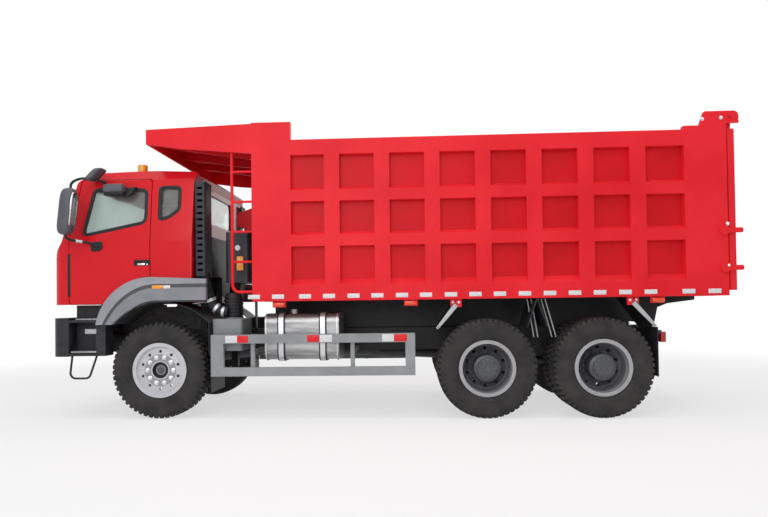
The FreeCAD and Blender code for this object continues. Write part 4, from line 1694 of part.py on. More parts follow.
def hoist_stage(index):
    """Stage one is the widest; each is a tube that slides in the one before."""
    base, eye, way, closed = hoist_line()
    step = HOIST_WALL + HOIST_SLIP
    radius = HOIST_BARREL_RADIUS - step * index
    foot = -HOIST_BARREL_BACKSET + HOIST_WALL * 2 + HOIST_SLIP + (HOIST_WALL + HOIST_SLIP) * (index - 1)
    end = closed - HOIST_EYE_RADIUS - HOIST_COLLAR * (HOIST_STAGES - index) - HOIST_COLLAR
    if index == HOIST_STAGES:
        end = closed - HOIST_EYE_RADIUS / 2.0
    tube = rod(along(base, way, foot), along(base, way, end), radius)
    if index < HOIST_STAGES:
        return tube.cut(rod(along(base, way, foot + HOIST_WALL), along(base, way, end + CUT_OVERRUN),
                            radius - HOIST_WALL))
    ring = rod(vec(eye.x, -HOIST_EYE_HALF_WIDTH, eye.z), vec(eye.x, HOIST_EYE_HALF_WIDTH, eye.z),
               HOIST_EYE_RADIUS)
    pin_half = HOIST_BARREL_RADIUS
    pin = rod(vec(eye.x, -pin_half, eye.z), vec(eye.x, pin_half, eye.z), TRUNNION_RADIUS)
    return joined([tube, ring, pin])


def hoist_ears():
    """Two plates out of the bed's front wall beside the hoist's eye."""
    eye = hoist_line()[1]
    low = HOIST_BARREL_RADIUS + MOVING_GAP
    wall = BED_FRONT - SEAT_GAP
    plate = side_slab([(eye.x - HOIST_EAR_RADIUS, eye.z - HOIST_EAR_RADIUS),
                       (wall, eye.z - HOIST_EAR_RADIUS * 4),
                       (wall, eye.z + HOIST_EAR_RADIUS * 3),
                       (eye.x - HOIST_EAR_RADIUS, eye.z + HOIST_EAR_RADIUS)],
                      [HOIST_EAR_RADIUS * 0.8, 0, 0, HOIST_EAR_RADIUS * 0.8], low, low + HOIST_EAR_THICK)
    return [plate, other_side(plate)]


# Mirrors: a tall housing on a bent arm that is fixed to the door.
def mirror(way):
    housing = front_slab(rectangle(-MIRROR_OUTER_Y, -MIRROR_INNER_Y, MIRROR_BOTTOM, MIRROR_TOP),
                         MIRROR_ROUND,
                         MIRROR_X - MIRROR_DEPTH / 2.0, MIRROR_X + MIRROR_DEPTH / 2.0)
    arm_y = -(MIRROR_INNER_Y + MIRROR_OUTER_Y) / 2.0
    skin = -CAB_HALF_WIDTH - MIRROR_FOOT_THICK
    front_x = MIRROR_X - MIRROR_DEPTH / 2.0
    low = bent_tube([vec(MIRROR_FOOT_X, skin + MIRROR_ARM_RADIUS, MIRROR_FOOT_Z),
                     vec(front_x, skin - MIRROR_FOOT_THICK, MIRROR_ARM_LOW_Z),
                     vec(front_x, arm_y, MIRROR_ARM_LOW_Z),
                     vec(front_x, arm_y, MIRROR_BOTTOM + MIRROR_ROUND)], MIRROR_FOOT_THICK,
                    MIRROR_ARM_RADIUS)
    roof_y = -CAB_ROOF_HALF_WIDTH - MIRROR_ARM_RADIUS * 1.2
    high = bent_tube([vec(DOOR_TOP_FRONT_X + MIRROR_FOOT_THICK * 2, roof_y,
                          DOOR_TOP_Z - MIRROR_FOOT_THICK),
                      vec(front_x, roof_y - MIRROR_FOOT_THICK, MIRROR_ARM_HIGH_Z),
                      vec(front_x, arm_y, MIRROR_ARM_HIGH_Z),
                      vec(front_x, arm_y, MIRROR_TOP - MIRROR_ROUND)], MIRROR_FOOT_THICK,
                     MIRROR_ARM_RADIUS)
    foot = side_slab(rectangle(MIRROR_FOOT_X - MIRROR_FOOT_THICK * 1.5,
                               MIRROR_FOOT_X + MIRROR_FOOT_THICK * 1.5,
                               MIRROR_FOOT_Z - MIRROR_FOOT_THICK * 1.5,
                               MIRROR_FOOT_Z + MIRROR_FOOT_THICK), MIRROR_FOOT_THICK * 0.9,
                     -CAB_HALF_WIDTH - MIRROR_FOOT_THICK, -CAB_HALF_WIDTH - SEAT_GAP)
    left = joined([housing, low, high, foot])
    return left if way < 0 else other_side(left)


def main():
    os.makedirs("parts", exist_ok=True)
    write("frame_rails", frame_rails())
    write("front_bumper", front_bumper())
    write("entry_steps", entry_steps())
    write("front_axle", front_axle())
    write("rear_axles", rear_axles())
    write("leaf_springs", leaf_springs())
    write("engine_block", engine_block())
    write("drive_shafts", drive_shafts())
    write("fuel_tank", fuel_tank())
    write("air_filter", air_filter())
    write("battery_box", battery_box())
    write("exhaust_and_air", exhaust_and_air())
    write("intake_stack", intake_stack())
    write("oil_tank", oil_tank())
    write("cab_mounts", cab_mounts())
    write("lamps", lamps())
    write("mudguards", mudguards())
    write("wheel_arch_trims", wheel_arch_trims())
    write("seats", seats())
    write("dashboard", dashboard())
    shell, doors, glasses, panes, flap = cab_parts()
    write("cab_shell", shell)
    write("cab_glass", panes)
    write("front_flap", flap)
    for side, name in enumerate(("left", "right")):
        way = 2 * side - 1
        write("side_guard_" + name, side_guard(way))
        write("door_" + name, doors[side])
        write("door_glass_" + name, glasses[side])
        write("mirror_" + name, mirror(way))
        write("knuckle_" + name, knuckle(way))
        write("front_tyre_" + name, tyre(FRONT_AXLE_X, way * WHEEL_FRONT_Y))
        write("front_rim_" + name, front_rim(way))
        for axle, place in enumerate(REAR_AXLES):
            label = "rear%d_%s" % (axle + 1, name)
            write(label + "_tyres", [tyre(place, way * WHEEL_REAR_Y), tyre(place, way * TWIN_INNER_Y)])
            write(label + "_rims", rear_rims(place, way))
    write("bed_box", bed_box())
    write("bed_ribs", bed_ribs())
    write("canopy", canopy())
    write("ladder", ladder())
    write("bed_subframe", bed_subframe())
    write("rear_mudguards", rear_mudguards())
    write("gate_hardware", gate_hardware())
    write("tailgate", tailgate())
    write("hoist_ears", hoist_ears())
    write("hoist_barrel", hoist_barrel())
    for index in range(1, HOIST_STAGES + 1):
        write("hoist_stage_%d" % index, hoist_stage(index))


main()
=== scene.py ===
import math

import bmesh
import bpy
import numpy as np
from mathutils import Matrix, Vector


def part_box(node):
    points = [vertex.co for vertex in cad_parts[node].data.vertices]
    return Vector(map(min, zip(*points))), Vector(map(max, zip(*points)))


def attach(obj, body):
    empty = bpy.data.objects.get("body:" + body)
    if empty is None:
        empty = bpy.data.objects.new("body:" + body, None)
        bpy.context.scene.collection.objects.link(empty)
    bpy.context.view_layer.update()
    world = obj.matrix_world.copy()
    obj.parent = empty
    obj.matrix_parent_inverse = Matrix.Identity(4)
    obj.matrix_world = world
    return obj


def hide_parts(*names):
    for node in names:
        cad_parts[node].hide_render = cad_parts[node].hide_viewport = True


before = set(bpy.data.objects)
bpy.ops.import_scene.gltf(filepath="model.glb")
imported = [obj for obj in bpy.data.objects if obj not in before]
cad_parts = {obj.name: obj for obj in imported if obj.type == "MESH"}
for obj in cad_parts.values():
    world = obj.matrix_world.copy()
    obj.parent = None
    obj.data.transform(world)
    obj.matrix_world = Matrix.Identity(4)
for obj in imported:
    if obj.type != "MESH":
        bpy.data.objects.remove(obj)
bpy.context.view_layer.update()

# Studio. The truck stands on a pale floor in soft daylight, and the camera stands at the left side,
# a little in front of the rear axles and at the height of the frame rails.
EYE = Vector((0.3324, -8.6622, 1.4194))
TURN_LEFT = 0.0482
TILT_UP = 0.0165
ROLL = -0.0128
LENS_MM = 28.26
FRAME_SHIFT = 0.0463
SKY = (0.93, 0.96, 1.0)
SKY_STRENGTH = 0.42
BACKGROUND = (1.0, 1.0, 1.0)
FLOOR_REACH = 60.0
FLOOR_PALE = (0.90, 0.90, 0.90)

scene = bpy.context.scene
scene.view_settings.view_transform = "Standard"

ahead = Vector((-math.sin(TURN_LEFT) * math.cos(TILT_UP), math.cos(TURN_LEFT) * math.cos(TILT_UP),
                math.sin(TILT_UP)))
level = Vector((math.cos(TURN_LEFT), math.sin(TURN_LEFT), 0.0))
above = level.cross(ahead)
right = level * math.cos(ROLL) + above * math.sin(ROLL)
up = above * math.cos(ROLL) - level * math.sin(ROLL)
camera = bpy.data.objects.new("camera", bpy.data.cameras.new("camera"))
camera.matrix_world = Matrix((right, up, -ahead)).transposed().to_4x4()
camera.location = EYE
camera.data.lens = LENS_MM
camera.data.shift_y = FRAME_SHIFT
scene.collection.objects.link(camera)
scene.camera = camera


def add(tree, kind, **values):
    """A shader node with its settings and socket values."""
    node = tree.nodes.new(kind)
    for key, value in values.items():
        if key in node.inputs:
            node.inputs[key].default_value = value
        else:
            setattr(node, key, value)
    return node


def seen_white(tree):
    """1 for what the camera, a reflection or a clear pane sees directly, and 0 for light that falls."""
    path = add(tree, "ShaderNodeLightPath")
    seen = add(tree, "ShaderNodeMath", operation="MAXIMUM")
    seen_any = add(tree, "ShaderNodeMath", operation="MAXIMUM")
    tree.links.new(path.outputs["Is Camera Ray"], seen.inputs[0])
    tree.links.new(path.outputs["Is Transmission Ray"], seen.inputs[1])
    tree.links.new(seen.outputs[0], seen_any.inputs[0])
    tree.links.new(path.outputs["Is Glossy Ray"], seen_any.inputs[1])
    return seen_any


world = bpy.data.worlds.new("daylight")
world.use_nodes = True
scene.world = world
tree = world.node_tree
tree.nodes.clear()
seen_any = seen_white(tree)
sky = add(tree, "ShaderNodeBackground", Color=SKY + (1.0,), Strength=SKY_STRENGTH)
plain = add(tree, "ShaderNodeBackground", Color=BACKGROUND + (1.0,), Strength=1.0)
mix = add(tree, "ShaderNodeMixShader")
out = add(tree, "ShaderNodeOutputWorld")
tree.links.new(seen_any.outputs[0], mix.inputs[0])
tree.links.new(sky.outputs[0], mix.inputs[1])
tree.links.new(plain.outputs[0], mix.inputs[2])
tree.links.new(mix.outputs[0], out.inputs["Surface"])

# Three soft lamps: a wide one overhead, one from the camera's side and a weak one from behind.
LAMPS = (
    ("overhead", (0.0, -3.0, 11.0), (0.0, 0.3, 0.0), 14.0, 620.0),
    ("near_side", (-3.0, -14.0, 6.5), (0.0, 0.0, 1.6), 9.0, 560.0),
    ("far_side", (5.0, 14.0, 7.0), (0.0, 0.0, 1.5), 9.0, 230.0),
)
for name, place, target, size, watts in LAMPS:
    lamp = bpy.data.lights.new(name, "AREA")
    lamp.shape = "DISK"
    lamp.size = size
    lamp.energy = watts
    holder = bpy.data.objects.new(name, lamp)
    holder.location = place
    holder.rotation_euler = (Vector(target) - Vector(place)).to_track_quat("-Z", "Y").to_euler()
    scene.collection.objects.link(holder)

# The floor is matt and pale. Away from the truck it fades to the background's white, and what the
# camera or a reflection sees of it near the truck is mostly that white with the truck's shadow on it.
FLOOR_WHITE = 0.62
FADE_FROM, FADE_TO = 6.5, 13.0
floor_mesh = bpy.data.meshes.new("floor")
corner = np.array([(-1, -1), (1, -1), (1, 1), (-1, 1)]) * FLOOR_REACH
floor_mesh.from_pydata([(x, y, 0.0) for x, y in corner], [], [(0, 1, 2, 3)])
floor = bpy.data.objects.new("floor", floor_mesh)
scene.collection.objects.link(floor)
pale = bpy.data.materials.new("pale_floor")
pale.use_nodes = True
tree = pale.node_tree
matt = tree.nodes["Principled BSDF"]
matt.inputs["Base Color"].default_value = FLOOR_PALE + (1.0,)
matt.inputs["Roughness"].default_value = 0.9
where = add(tree, "ShaderNodeTexCoord")
away = add(tree, "ShaderNodeVectorMath", operation="LENGTH")
fade = add(tree, "ShaderNodeMapRange", interpolation_type="SMOOTHSTEP")
for socket, value in (("From Min", FADE_FROM), ("From Max", FADE_TO), ("To Min", FLOOR_WHITE), ("To Max",
                                                                                                1.0)):
    fade.inputs[socket].default_value = value
seen_any = seen_white(tree)
share = add(tree, "ShaderNodeMath", operation="MULTIPLY")
white = add(tree, "ShaderNodeEmission", Strength=1.0)
mix = add(tree, "ShaderNodeMixShader")
tree.links.new(where.outputs["Object"], away.inputs[0])
tree.links.new(away.outputs["Value"], fade.inputs["Value"])
tree.links.new(seen_any.outputs[0], share.inputs[0])
tree.links.new(fade.outputs["Result"], share.inputs[1])
tree.links.new(share.outputs[0], mix.inputs[0])
tree.links.new(matt.outputs[0], mix.inputs[1])
tree.links.new(white.outputs[0], mix.inputs[2])
tree.links.new(mix.outputs[0], tree.nodes["Material Output"].inputs["Surface"])
floor_mesh.materials.append(pale)

# Red paint. The bed, the cab and everything bolted to them are welded steel sheet, primed and sprayed in one
# red. The bed's panels lie deep between the ribs, and their red is painted darker as the shade of those
# recesses; the cab is glossier.
RED = (0.90, 0.026, 0.038)
RED_DEEP = (0.76, 0.016, 0.025)
# The panel reds are the rib red darkened: painted shade in the recesses between the ribs.
PANEL_RED_SHADED = (0.70, 0.010, 0.018)
PANEL_DEEP_SHADED = (0.58, 0.007, 0.013)
CAB_RED = (0.74, 0.012, 0.020)
CAB_DEEP = (0.64, 0.009, 0.016)


def finish(name, low, high, rough, coat=0.0, metal=0.0, grain=6.0, skin=300.0, wave=0.0, bump=0.15,
           stretch=(1, 1, 1),
           shine=0.3):
    """A painted, moulded or cast finish. A wide noise mixes two colours and moves the roughness a little, and
    a fine noise and an optional long wave together lift the surface."""
    material = bpy.data.materials.new(name)
    material.use_nodes = True
    tree = material.node_tree
    shader = tree.nodes["Principled BSDF"]
    shader.inputs["Metallic"].default_value = metal
    shader.inputs["Specular IOR Level"].default_value = shine
    shader.inputs["Coat Weight"].default_value = coat
    shader.inputs["Coat Roughness"].default_value = 0.12
    where = add(tree, "ShaderNodeTexCoord")
    place = add(tree, "ShaderNodeMapping")
    place.inputs["Scale"].default_value = stretch
    tree.links.new(where.outputs["Object"], place.inputs["Vector"])
    wide = add(tree, "ShaderNodeTexNoise", Scale=grain, Detail=5.0, Roughness=0.6)
    fine = add(tree, "ShaderNodeTexNoise", Scale=skin, Detail=3.0)
    for noise in (wide, fine):
        tree.links.new(place.outputs["Vector"], noise.inputs["Vector"])
    ramp = add(tree, "ShaderNodeValToRGB")
    ramp.color_ramp.elements[0].position = 0.35
    ramp.color_ramp.elements[1].position = 0.65
    ramp.color_ramp.elements[0].color = tuple(low) + (1.0,)
    ramp.color_ramp.elements[1].color = tuple(high) + (1.0,)
    tree.links.new(wide.outputs["Fac"], ramp.inputs["Fac"])
    tree.links.new(ramp.outputs["Color"], shader.inputs["Base Color"])
    spread = add(tree, "ShaderNodeMapRange")
    spread.inputs["To Min"].default_value = max(rough - 0.07, 0.02)
    spread.inputs["To Max"].default_value = rough + 0.07
    tree.links.new(wide.outputs["Fac"], spread.inputs["Value"])
    tree.links.new(spread.outputs["Result"], shader.inputs["Roughness"])
    lift = add(tree, "ShaderNodeBump", Strength=bump, Distance=0.002)
    tree.links.new(fine.outputs["Fac"], lift.inputs["Height"])
    if wave:
        slow = add(tree, "ShaderNodeTexNoise", Scale=wave, Detail=1.0)
        tree.links.new(where.outputs["Object"], slow.inputs["Vector"])
        plate = add(tree, "ShaderNodeBump", Strength=0.3, Distance=0.02)
        tree.links.new(slow.outputs["Fac"], plate.inputs["Height"])
        tree.links.new(plate.outputs["Normal"], lift.inputs["Normal"])
    tree.links.new(lift.outputs["Normal"], shader.inputs["Normal"])
    return material


def coat_nodes(material, *nodes):
    """CAD nodes take one finish in place of their packed ones."""
    for node in nodes:
        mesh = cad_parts[node].data
        mesh.materials.clear()
        mesh.materials.append(material)


def by_place(material, steps, axis=2, centre=None, stretch=1.0, front_only=False):
    """Other colours by place on one material: steps of (place, colour) along an axis or, with a
    centre, of (distance from an axle through it, colour). Each colour holds up to the next step. The
    distance may be stretched along x, and behind the axle it may count the height alone."""
    tree = material.node_tree
    where = add(tree, "ShaderNodeTexCoord")
    if centre is None:
        split = add(tree, "ShaderNodeSeparateXYZ")
        tree.links.new(where.outputs["Object"], split.inputs[0])
        value = split.outputs[axis]
    else:
        from_axle = add(tree, "ShaderNodeVectorMath", operation="SUBTRACT")
        ahead_of = add(tree, "ShaderNodeVectorMath", operation="MINIMUM")
        flat = add(tree, "ShaderNodeVectorMath", operation="MULTIPLY")
        away = add(tree, "ShaderNodeVectorMath", operation="LENGTH")
        from_axle.inputs[1].default_value = (centre[0], 0.0, centre[2])
        ahead_of.inputs[1].default_value = (0.0 if front_only else 9.0, 9.0, 9.0)
        flat.inputs[1].default_value = (stretch, 0.0, 1.0)
        tree.links.new(where.outputs["Object"], from_axle.inputs[0])
        tree.links.new(from_axle.outputs["Vector"], ahead_of.inputs[0])
        tree.links.new(ahead_of.outputs["Vector"], flat.inputs[0])
        tree.links.new(flat.outputs["Vector"], away.inputs[0])
        value = away.outputs["Value"]
    places = [place for place, _ in steps]
    span = add(tree, "ShaderNodeMapRange")
    span.inputs["From Min"].default_value = places[0]
    span.inputs["From Max"].default_value = places[-1] + (places[-1] - places[0]) * 0.1 + 0.001
    tree.links.new(value, span.inputs["Value"])
    full = span.inputs["From Max"].default_value - places[0]
    ramp = add(tree, "ShaderNodeValToRGB")
    ramp.color_ramp.interpolation = "CONSTANT"
    for index, (place, colour) in enumerate(steps):
        stop = ramp.color_ramp.elements[index] if index < 2 else ramp.color_ramp.elements.new(1.0)
        stop.position = (place - places[0]) / full
        stop.color = tuple(colour) + (1.0,)
    tree.links.new(span.outputs["Result"], ramp.inputs["Fac"])
    shade = add(tree, "ShaderNodeMix", data_type="RGBA", blend_type="MULTIPLY")
    shade.inputs["Factor"].default_value = 1.0
    shader = tree.nodes["Principled BSDF"]
    mottle = shader.inputs["Base Color"].links[0].from_socket
    tree.links.new(mottle, shade.inputs["A"])
    tree.links.new(ramp.outputs["Color"], shade.inputs["B"])
    tree.links.new(shade.outputs["Result"], shader.inputs["Base Color"])
    return material


rib_paint = finish("bed_rib_red", RED_DEEP, RED, 0.42, grain=0.9, skin=420.0, wave=1.6, bump=0.08, shine=0.14)
# The panels' finish carries painted shade: its reds are darker than the ribs' for the recesses.
panel_paint_shaded = finish("bed_panel_painted_shade", PANEL_DEEP_SHADED, PANEL_RED_SHADED, 0.40, grain=1.1, skin=420.0, wave=2.2,
                     bump=0.08, shine=0.14)
cab_paint = finish("cab_red", CAB_DEEP, CAB_RED, 0.24, coat=0.12, grain=0.7, skin=500.0, bump=0.04,
                   shine=0.16)
coat_nodes(rib_paint, "bed_ribs", "canopy", "ladder", "tailgate", "gate_hardware", "hoist_ears")
coat_nodes(panel_paint_shaded, "bed_box")
coat_nodes(cab_paint, "cab_shell", "door_left", "door_right")
flap_paint = finish("front_flap_paint", (0.9, 0.9, 0.9), (1.0, 1.0, 1.0), 0.3, coat=0.12, grain=0.7,
                    skin=500.0, shine=0.16)
GRILLE = (0.012, 0.012, 0.013)
slats = [(1.45, CAB_RED)] + [step for z in np.arange(1.60, 1.98, 0.075) for step in ((z, GRILLE), (z + 0.055,
                                                                                                   (0.06,
                                                                                                    0.06,
                                                                                                    0.065)))]
coat_nodes(by_place(flap_paint, slats + [(2.05, CAB_RED)]), "front_flap")

# Chassis paint. Rails, cross tubes, axles, springs and the bed's own frame are black or dark grey;
# bumper, steps and mudguards are moulded black, and the side guards are painted light grey.
chassis_black = finish("chassis_black", (0.008, 0.008, 0.009), (0.020, 0.020, 0.022), 0.5, grain=4.0,
                       skin=120.0)
moulded_black = finish("moulded_black", (0.018, 0.018, 0.021), (0.036, 0.036, 0.042), 0.5, grain=9.0,
                       skin=650.0, bump=0.3)
cast_grey = finish("cast_grey", (0.055, 0.057, 0.060), (0.11, 0.112, 0.115), 0.6, grain=14.0, skin=160.0,
                   bump=0.5)
guard_grey = finish("guard_grey", (0.26, 0.275, 0.28), (0.34, 0.355, 0.36), 0.42, grain=2.5, skin=300.0)
tank_black = finish("tank_black", (0.014, 0.015, 0.020), (0.030, 0.032, 0.040), 0.4, grain=5.0, skin=500.0)
filter_grey = by_place(finish("filter_housing", (0.9, 0.9, 0.9), (1.0, 1.0, 1.0), 0.45, grain=4.0,
                              skin=500.0, bump=0.3),
                       [(0.8, (0.27, 0.285, 0.29)), (1.27, (0.02, 0.02, 0.023))])
arch_grey = by_place(finish("arch_trim", (0.85, 0.85, 0.86), (1.0, 1.0, 1.0), 0.42, grain=5.0, skin=700.0,
                            bump=0.2),
                     [(0.0, (0.04, 0.041, 0.044)), (0.885, (0.27, 0.275, 0.30)), (1.045, (0.085, 0.087,
                                                                                          0.094)),
                      (1.092, (0.36, 0.365, 0.39))], centre=(-2.8955, 0.0, 0.613), stretch=1.32,
                      front_only=True)
coat_nodes(chassis_black, "frame_rails", "cab_mounts", "bed_subframe", "front_axle", "rear_axles",
           "leaf_springs",
           "exhaust_and_air", "knuckle_left", "knuckle_right", "hoist_barrel")
coat_nodes(moulded_black, "front_bumper", "entry_steps", "mudguards", "rear_mudguards", "battery_box",
           "dashboard")
coat_nodes(tank_black, "oil_tank", "intake_stack")
coat_nodes(cast_grey, "engine_block", "drive_shafts")
coat_nodes(guard_grey, "side_guard_left", "side_guard_right")
coat_nodes(filter_grey, "air_filter")
coat_nodes(arch_grey, "wheel_arch_trims")

# Tyres. Ten off-road radials with a bias-cut block tread: two rows of heavy shoulder lugs, which run
# down onto the sidewall, and two rows of centre blocks. Ridges ring the sidewall near the rim.
TYRE_HALF = 0.1574
LUGS = 52
GROOVE = 0.019
LUG_SPAN = np.array([0.0, 0.03, 0.30, 0.58, 0.63, 0.66, 0.80, 0.97])
LUG_TOP = np.array([0.0, 1.0, 1.0, 1.0, 0.0, 0.0, 0.0, 0.0])
# Half of the section from the tread's middle to the bead: place along y, radius, share of the
# groove depth between rows, share of it between lugs, and how far the lugs are staggered.
SECTION = np.array([
    (0.000, 0.6040, 1.0, 1.0, 0.25), (0.005, 0.6045, 1.0, 1.0, 0.25), (0.008, 0.6126, 0.0, 1.0, 0.25),
    (0.030, 0.6128, 0.0, 1.0, 0.38), (0.056, 0.6126, 0.0, 1.0, 0.50), (0.060, 0.6120, 1.0, 1.0, 0.52),
    (0.070, 0.6118, 1.0, 1.0, 0.86), (0.074, 0.6120, 0.0, 1.0, 0.90), (0.105, 0.6110, 0.0, 1.0, 1.00),
    (0.126, 0.6085, 0.0, 1.0, 1.06), (0.138, 0.6025, 0.0, 1.0, 1.10), (0.1455, 0.5920, 0.0, 0.9, 1.12),
    (0.1500, 0.5780, 0.0, 0.6, 1.13), (0.1525, 0.5640, 0.0, 0.35, 1.14), (0.1505, 0.5610, 0.0, 0.0, 1.14),
    (0.1520, 0.5450, 0.0, 0.0, 1.14), (0.1550, 0.5440, 0.0, 0.0, 1.14), (0.1558, 0.5280, 0.0, 0.0, 1.14),
    (0.1540, 0.5265, 0.0, 0.0, 1.14), (0.1568, 0.4950, 0.0, 0.0, 1.14), (0.1574, 0.4700, 0.0, 0.0, 1.14),
    (0.1566, 0.4450, 0.0, 0.0, 1.14), (0.1545, 0.4260, 0.0, 0.0, 1.14), (0.1560, 0.4245, 0.0, 0.0, 1.14),
    (0.1545, 0.4210, 0.0, 0.0, 1.14), (0.1520, 0.4200, 0.0, 0.0, 1.14), (0.1470, 0.4020, 0.0, 0.0, 1.14),
    (0.1480, 0.3985, 0.0, 0.0, 1.14), (0.1440, 0.3950, 0.0, 0.0, 1.14), (0.1360, 0.3760, 0.0, 0.0, 1.14),
    (0.1345, 0.3730, 0.0, 0.0, 1.14), (0.1200, 0.3600, 0.0, 0.0, 1.14), (0.1180, 0.3500, 0.0, 0.0, 1.14),
    (0.1165, 0.3200, 0.0, 0.0, 1.14)])


def grid(rows, columns, close_rows=False, close_columns=False):
    """Four-cornered faces of a grid of points numbered row by row. Each face takes a point, the next
    in its row, and the two beside them in the next row; a closed side runs round to the start."""
    row = np.arange(rows if close_rows else rows - 1)[:, None]
    column = np.arange(columns if close_columns else columns - 1)[None, :]
    next_row, next_column = (row + 1) % rows, (column + 1) % columns
    corners = (row * columns + column, row * columns + next_column, next_row * columns + next_column,
               next_row * columns + column)
    return np.stack([np.broadcast_to(c, (row.size, column.size)) for c in corners], -1).reshape(-1, 4)


def make(name, shells, material, body, sharp=35.0, mend=True):
    """One mesh piece of several shells of (points, arrays of faces), smooth but for edges over the
    sharp angle. Mended, its doubled points are merged and its faces are turned outwards."""
    points = np.concatenate([np.asarray(shell[0], float).reshape(-1, 3) for shell in shells])
    faces, start = [], 0
    for shell in shells:
        for block in shell[1:]:
            faces += (np.asarray(block) + start).tolist()
        start += np.asarray(shell[0]).size // 3
    mesh = bpy.data.meshes.new(name)
    mesh.from_pydata(points.tolist(), [], faces)
    if mend:
        shape = bmesh.new()
        shape.from_mesh(mesh)
        bmesh.ops.remove_doubles(shape, verts=shape.verts, dist=1e-5)
        bmesh.ops.recalc_face_normals(shape, faces=shape.faces)
        shape.to_mesh(mesh)
        shape.free()
    mesh.polygons.foreach_set("use_smooth", np.ones(len(mesh.polygons), bool))
    mesh.set_sharp_from_angle(angle=math.radians(sharp))
    mesh.materials.append(material)
    piece = bpy.data.objects.new(name, mesh)
    scene.collection.objects.link(piece)
    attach(piece, body)
    return piece


def tyre(middle, outward):
    """Section turned about the axle: a point at angle a and radius r stands at (r cos a, y, r sin a).
    Columns of the grid are skewed round the tyre by the stagger, and the radius drops by the groove's
    depth where either the row share or the lug share says so."""
    half = SECTION[1:, :]
    section = np.concatenate([half[::-1] * (-1, 1, 1, 1, 1), SECTION[:1], half])
    shift = np.where(section[:, 0] < 0, -section[:, 4] + 0.5, section[:, 4])
    turn = (np.arange(LUGS)[:, None] + LUG_SPAN[None, :]).reshape(-1, 1)
    lug = np.tile(LUG_TOP, LUGS)[:, None]
    angle = (turn + shift[None, :]) * (2 * math.pi / LUGS)
    sunk = np.maximum(section[None, :, 2], section[None, :, 3] * (1 - lug))
    radius = section[None, :, 1] - GROOVE * sunk
    side = section[None, :, 0] * (1 - 0.05 * sunk * (np.abs(section[None, :, 0]) > 0.12)) + 0 * radius
    points = np.stack([middle[0] + radius * np.cos(angle), middle[1] + outward * side,
                       middle[2] + radius * np.sin(angle)], -1)
    rows, columns = radius.shape
    faces = grid(rows, columns, close_rows=True)
    inner = np.stack([middle[0] + BEAD_R * np.cos(angle[:, [0, -1]]),
                      middle[1] + outward * section[[0, -1], 0] * np.ones((rows, 1)),
                      middle[2] + BEAD_R * np.sin(angle[:, [0, -1]])], -1)
    lining = grid(rows, 2, close_rows=True)[:, ::-1]
    if outward < 0:
        faces, lining = faces[:, ::-1], lining[:, ::-1]
    return [(points, faces), (inner, lining)]


BEAD_R = 0.318
WHEELS = []
rubber = finish("tyre_rubber", (0.020, 0.019, 0.020), (0.046, 0.041, 0.039), 0.7, grain=5.0, skin=240.0,
                bump=0.5)
for side, sign in (("left", -1), ("right", 1)):
    low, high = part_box("front_tyre_" + side)
    middle = (low + high) / 2
    piece = make("tyre_front_" + side, tyre(middle, sign), rubber, "front_wheel_" + side, mend=False)
    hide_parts("front_tyre_" + side)
    WHEELS.append(("front_rim_" + side, "front_wheel_" + side, middle, sign))
    for axle in ("rear1", "rear2"):
        low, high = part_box(f"{axle}_{side}_tyres")
        centre = (low + high) / 2
        gap = (high.y - low.y) / 2 - TYRE_HALF
        twins = [shell for y in (-gap, gap) for shell in tyre((centre.x, centre.y + y, centre.z), sign)]
        piece = make(f"tyres_{axle}_{side}", twins, rubber, f"{axle}_wheel_{side}", mend=False)
        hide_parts(f"{axle}_{side}_tyres")
        WHEELS.append((f"{axle}_{side}_rims", f"{axle}_wheel_{side}", Vector((centre.x,
                                                                              centre.y + sign * gap,
                                                                              centre.z)), sign))

# Rims, hubs and wheel nuts. Steel rims are sprayed silver, with ten hand holes. The front hub sits in a
# recess whose darkness is painted shade; the rear ones carry a cast planetary end with a scalloped cover and
# its bolts, and their deep dishes are painted darker towards the hub as shade.
SILVER = (0.62, 0.62, 0.635)
PLANET_R = 0.128
PLANET_FACE = 0.140


def turned(section, centre, way, count=48, lobes=0, depth=0.0, phase=0.0):
    """A section of (radius, distance out) turned about an axle along y: a point at angle a stands at
    (r cos a, out, r sin a). With lobes, the radius falls by the depth between them, as a cosine."""
    section = np.asarray(section, float)
    angle = (np.arange(count) + phase)[None, :] * (2 * math.pi / count)
    radius = section[:, :1] * (1 - depth * (0.5 - 0.5 * np.cos(lobes * angle)))
    points = np.stack([centre[0] + radius * np.cos(angle), centre[1] + way * section[:, 1:] + 0 * radius,
                       centre[2] + radius * np.sin(angle)], -1)
    return points, grid(len(section), count, close_columns=True)


def ring_of(count, circle, centre, phase=0.0):
    """Places evenly spaced on a circle about an axle."""
    angle = (np.arange(count) + phase) * (2 * math.pi / count)
    return np.stack([centre[0] + circle * np.cos(angle), np.full(count, centre[1]),
                     centre[2] + circle * np.sin(angle)], -1)


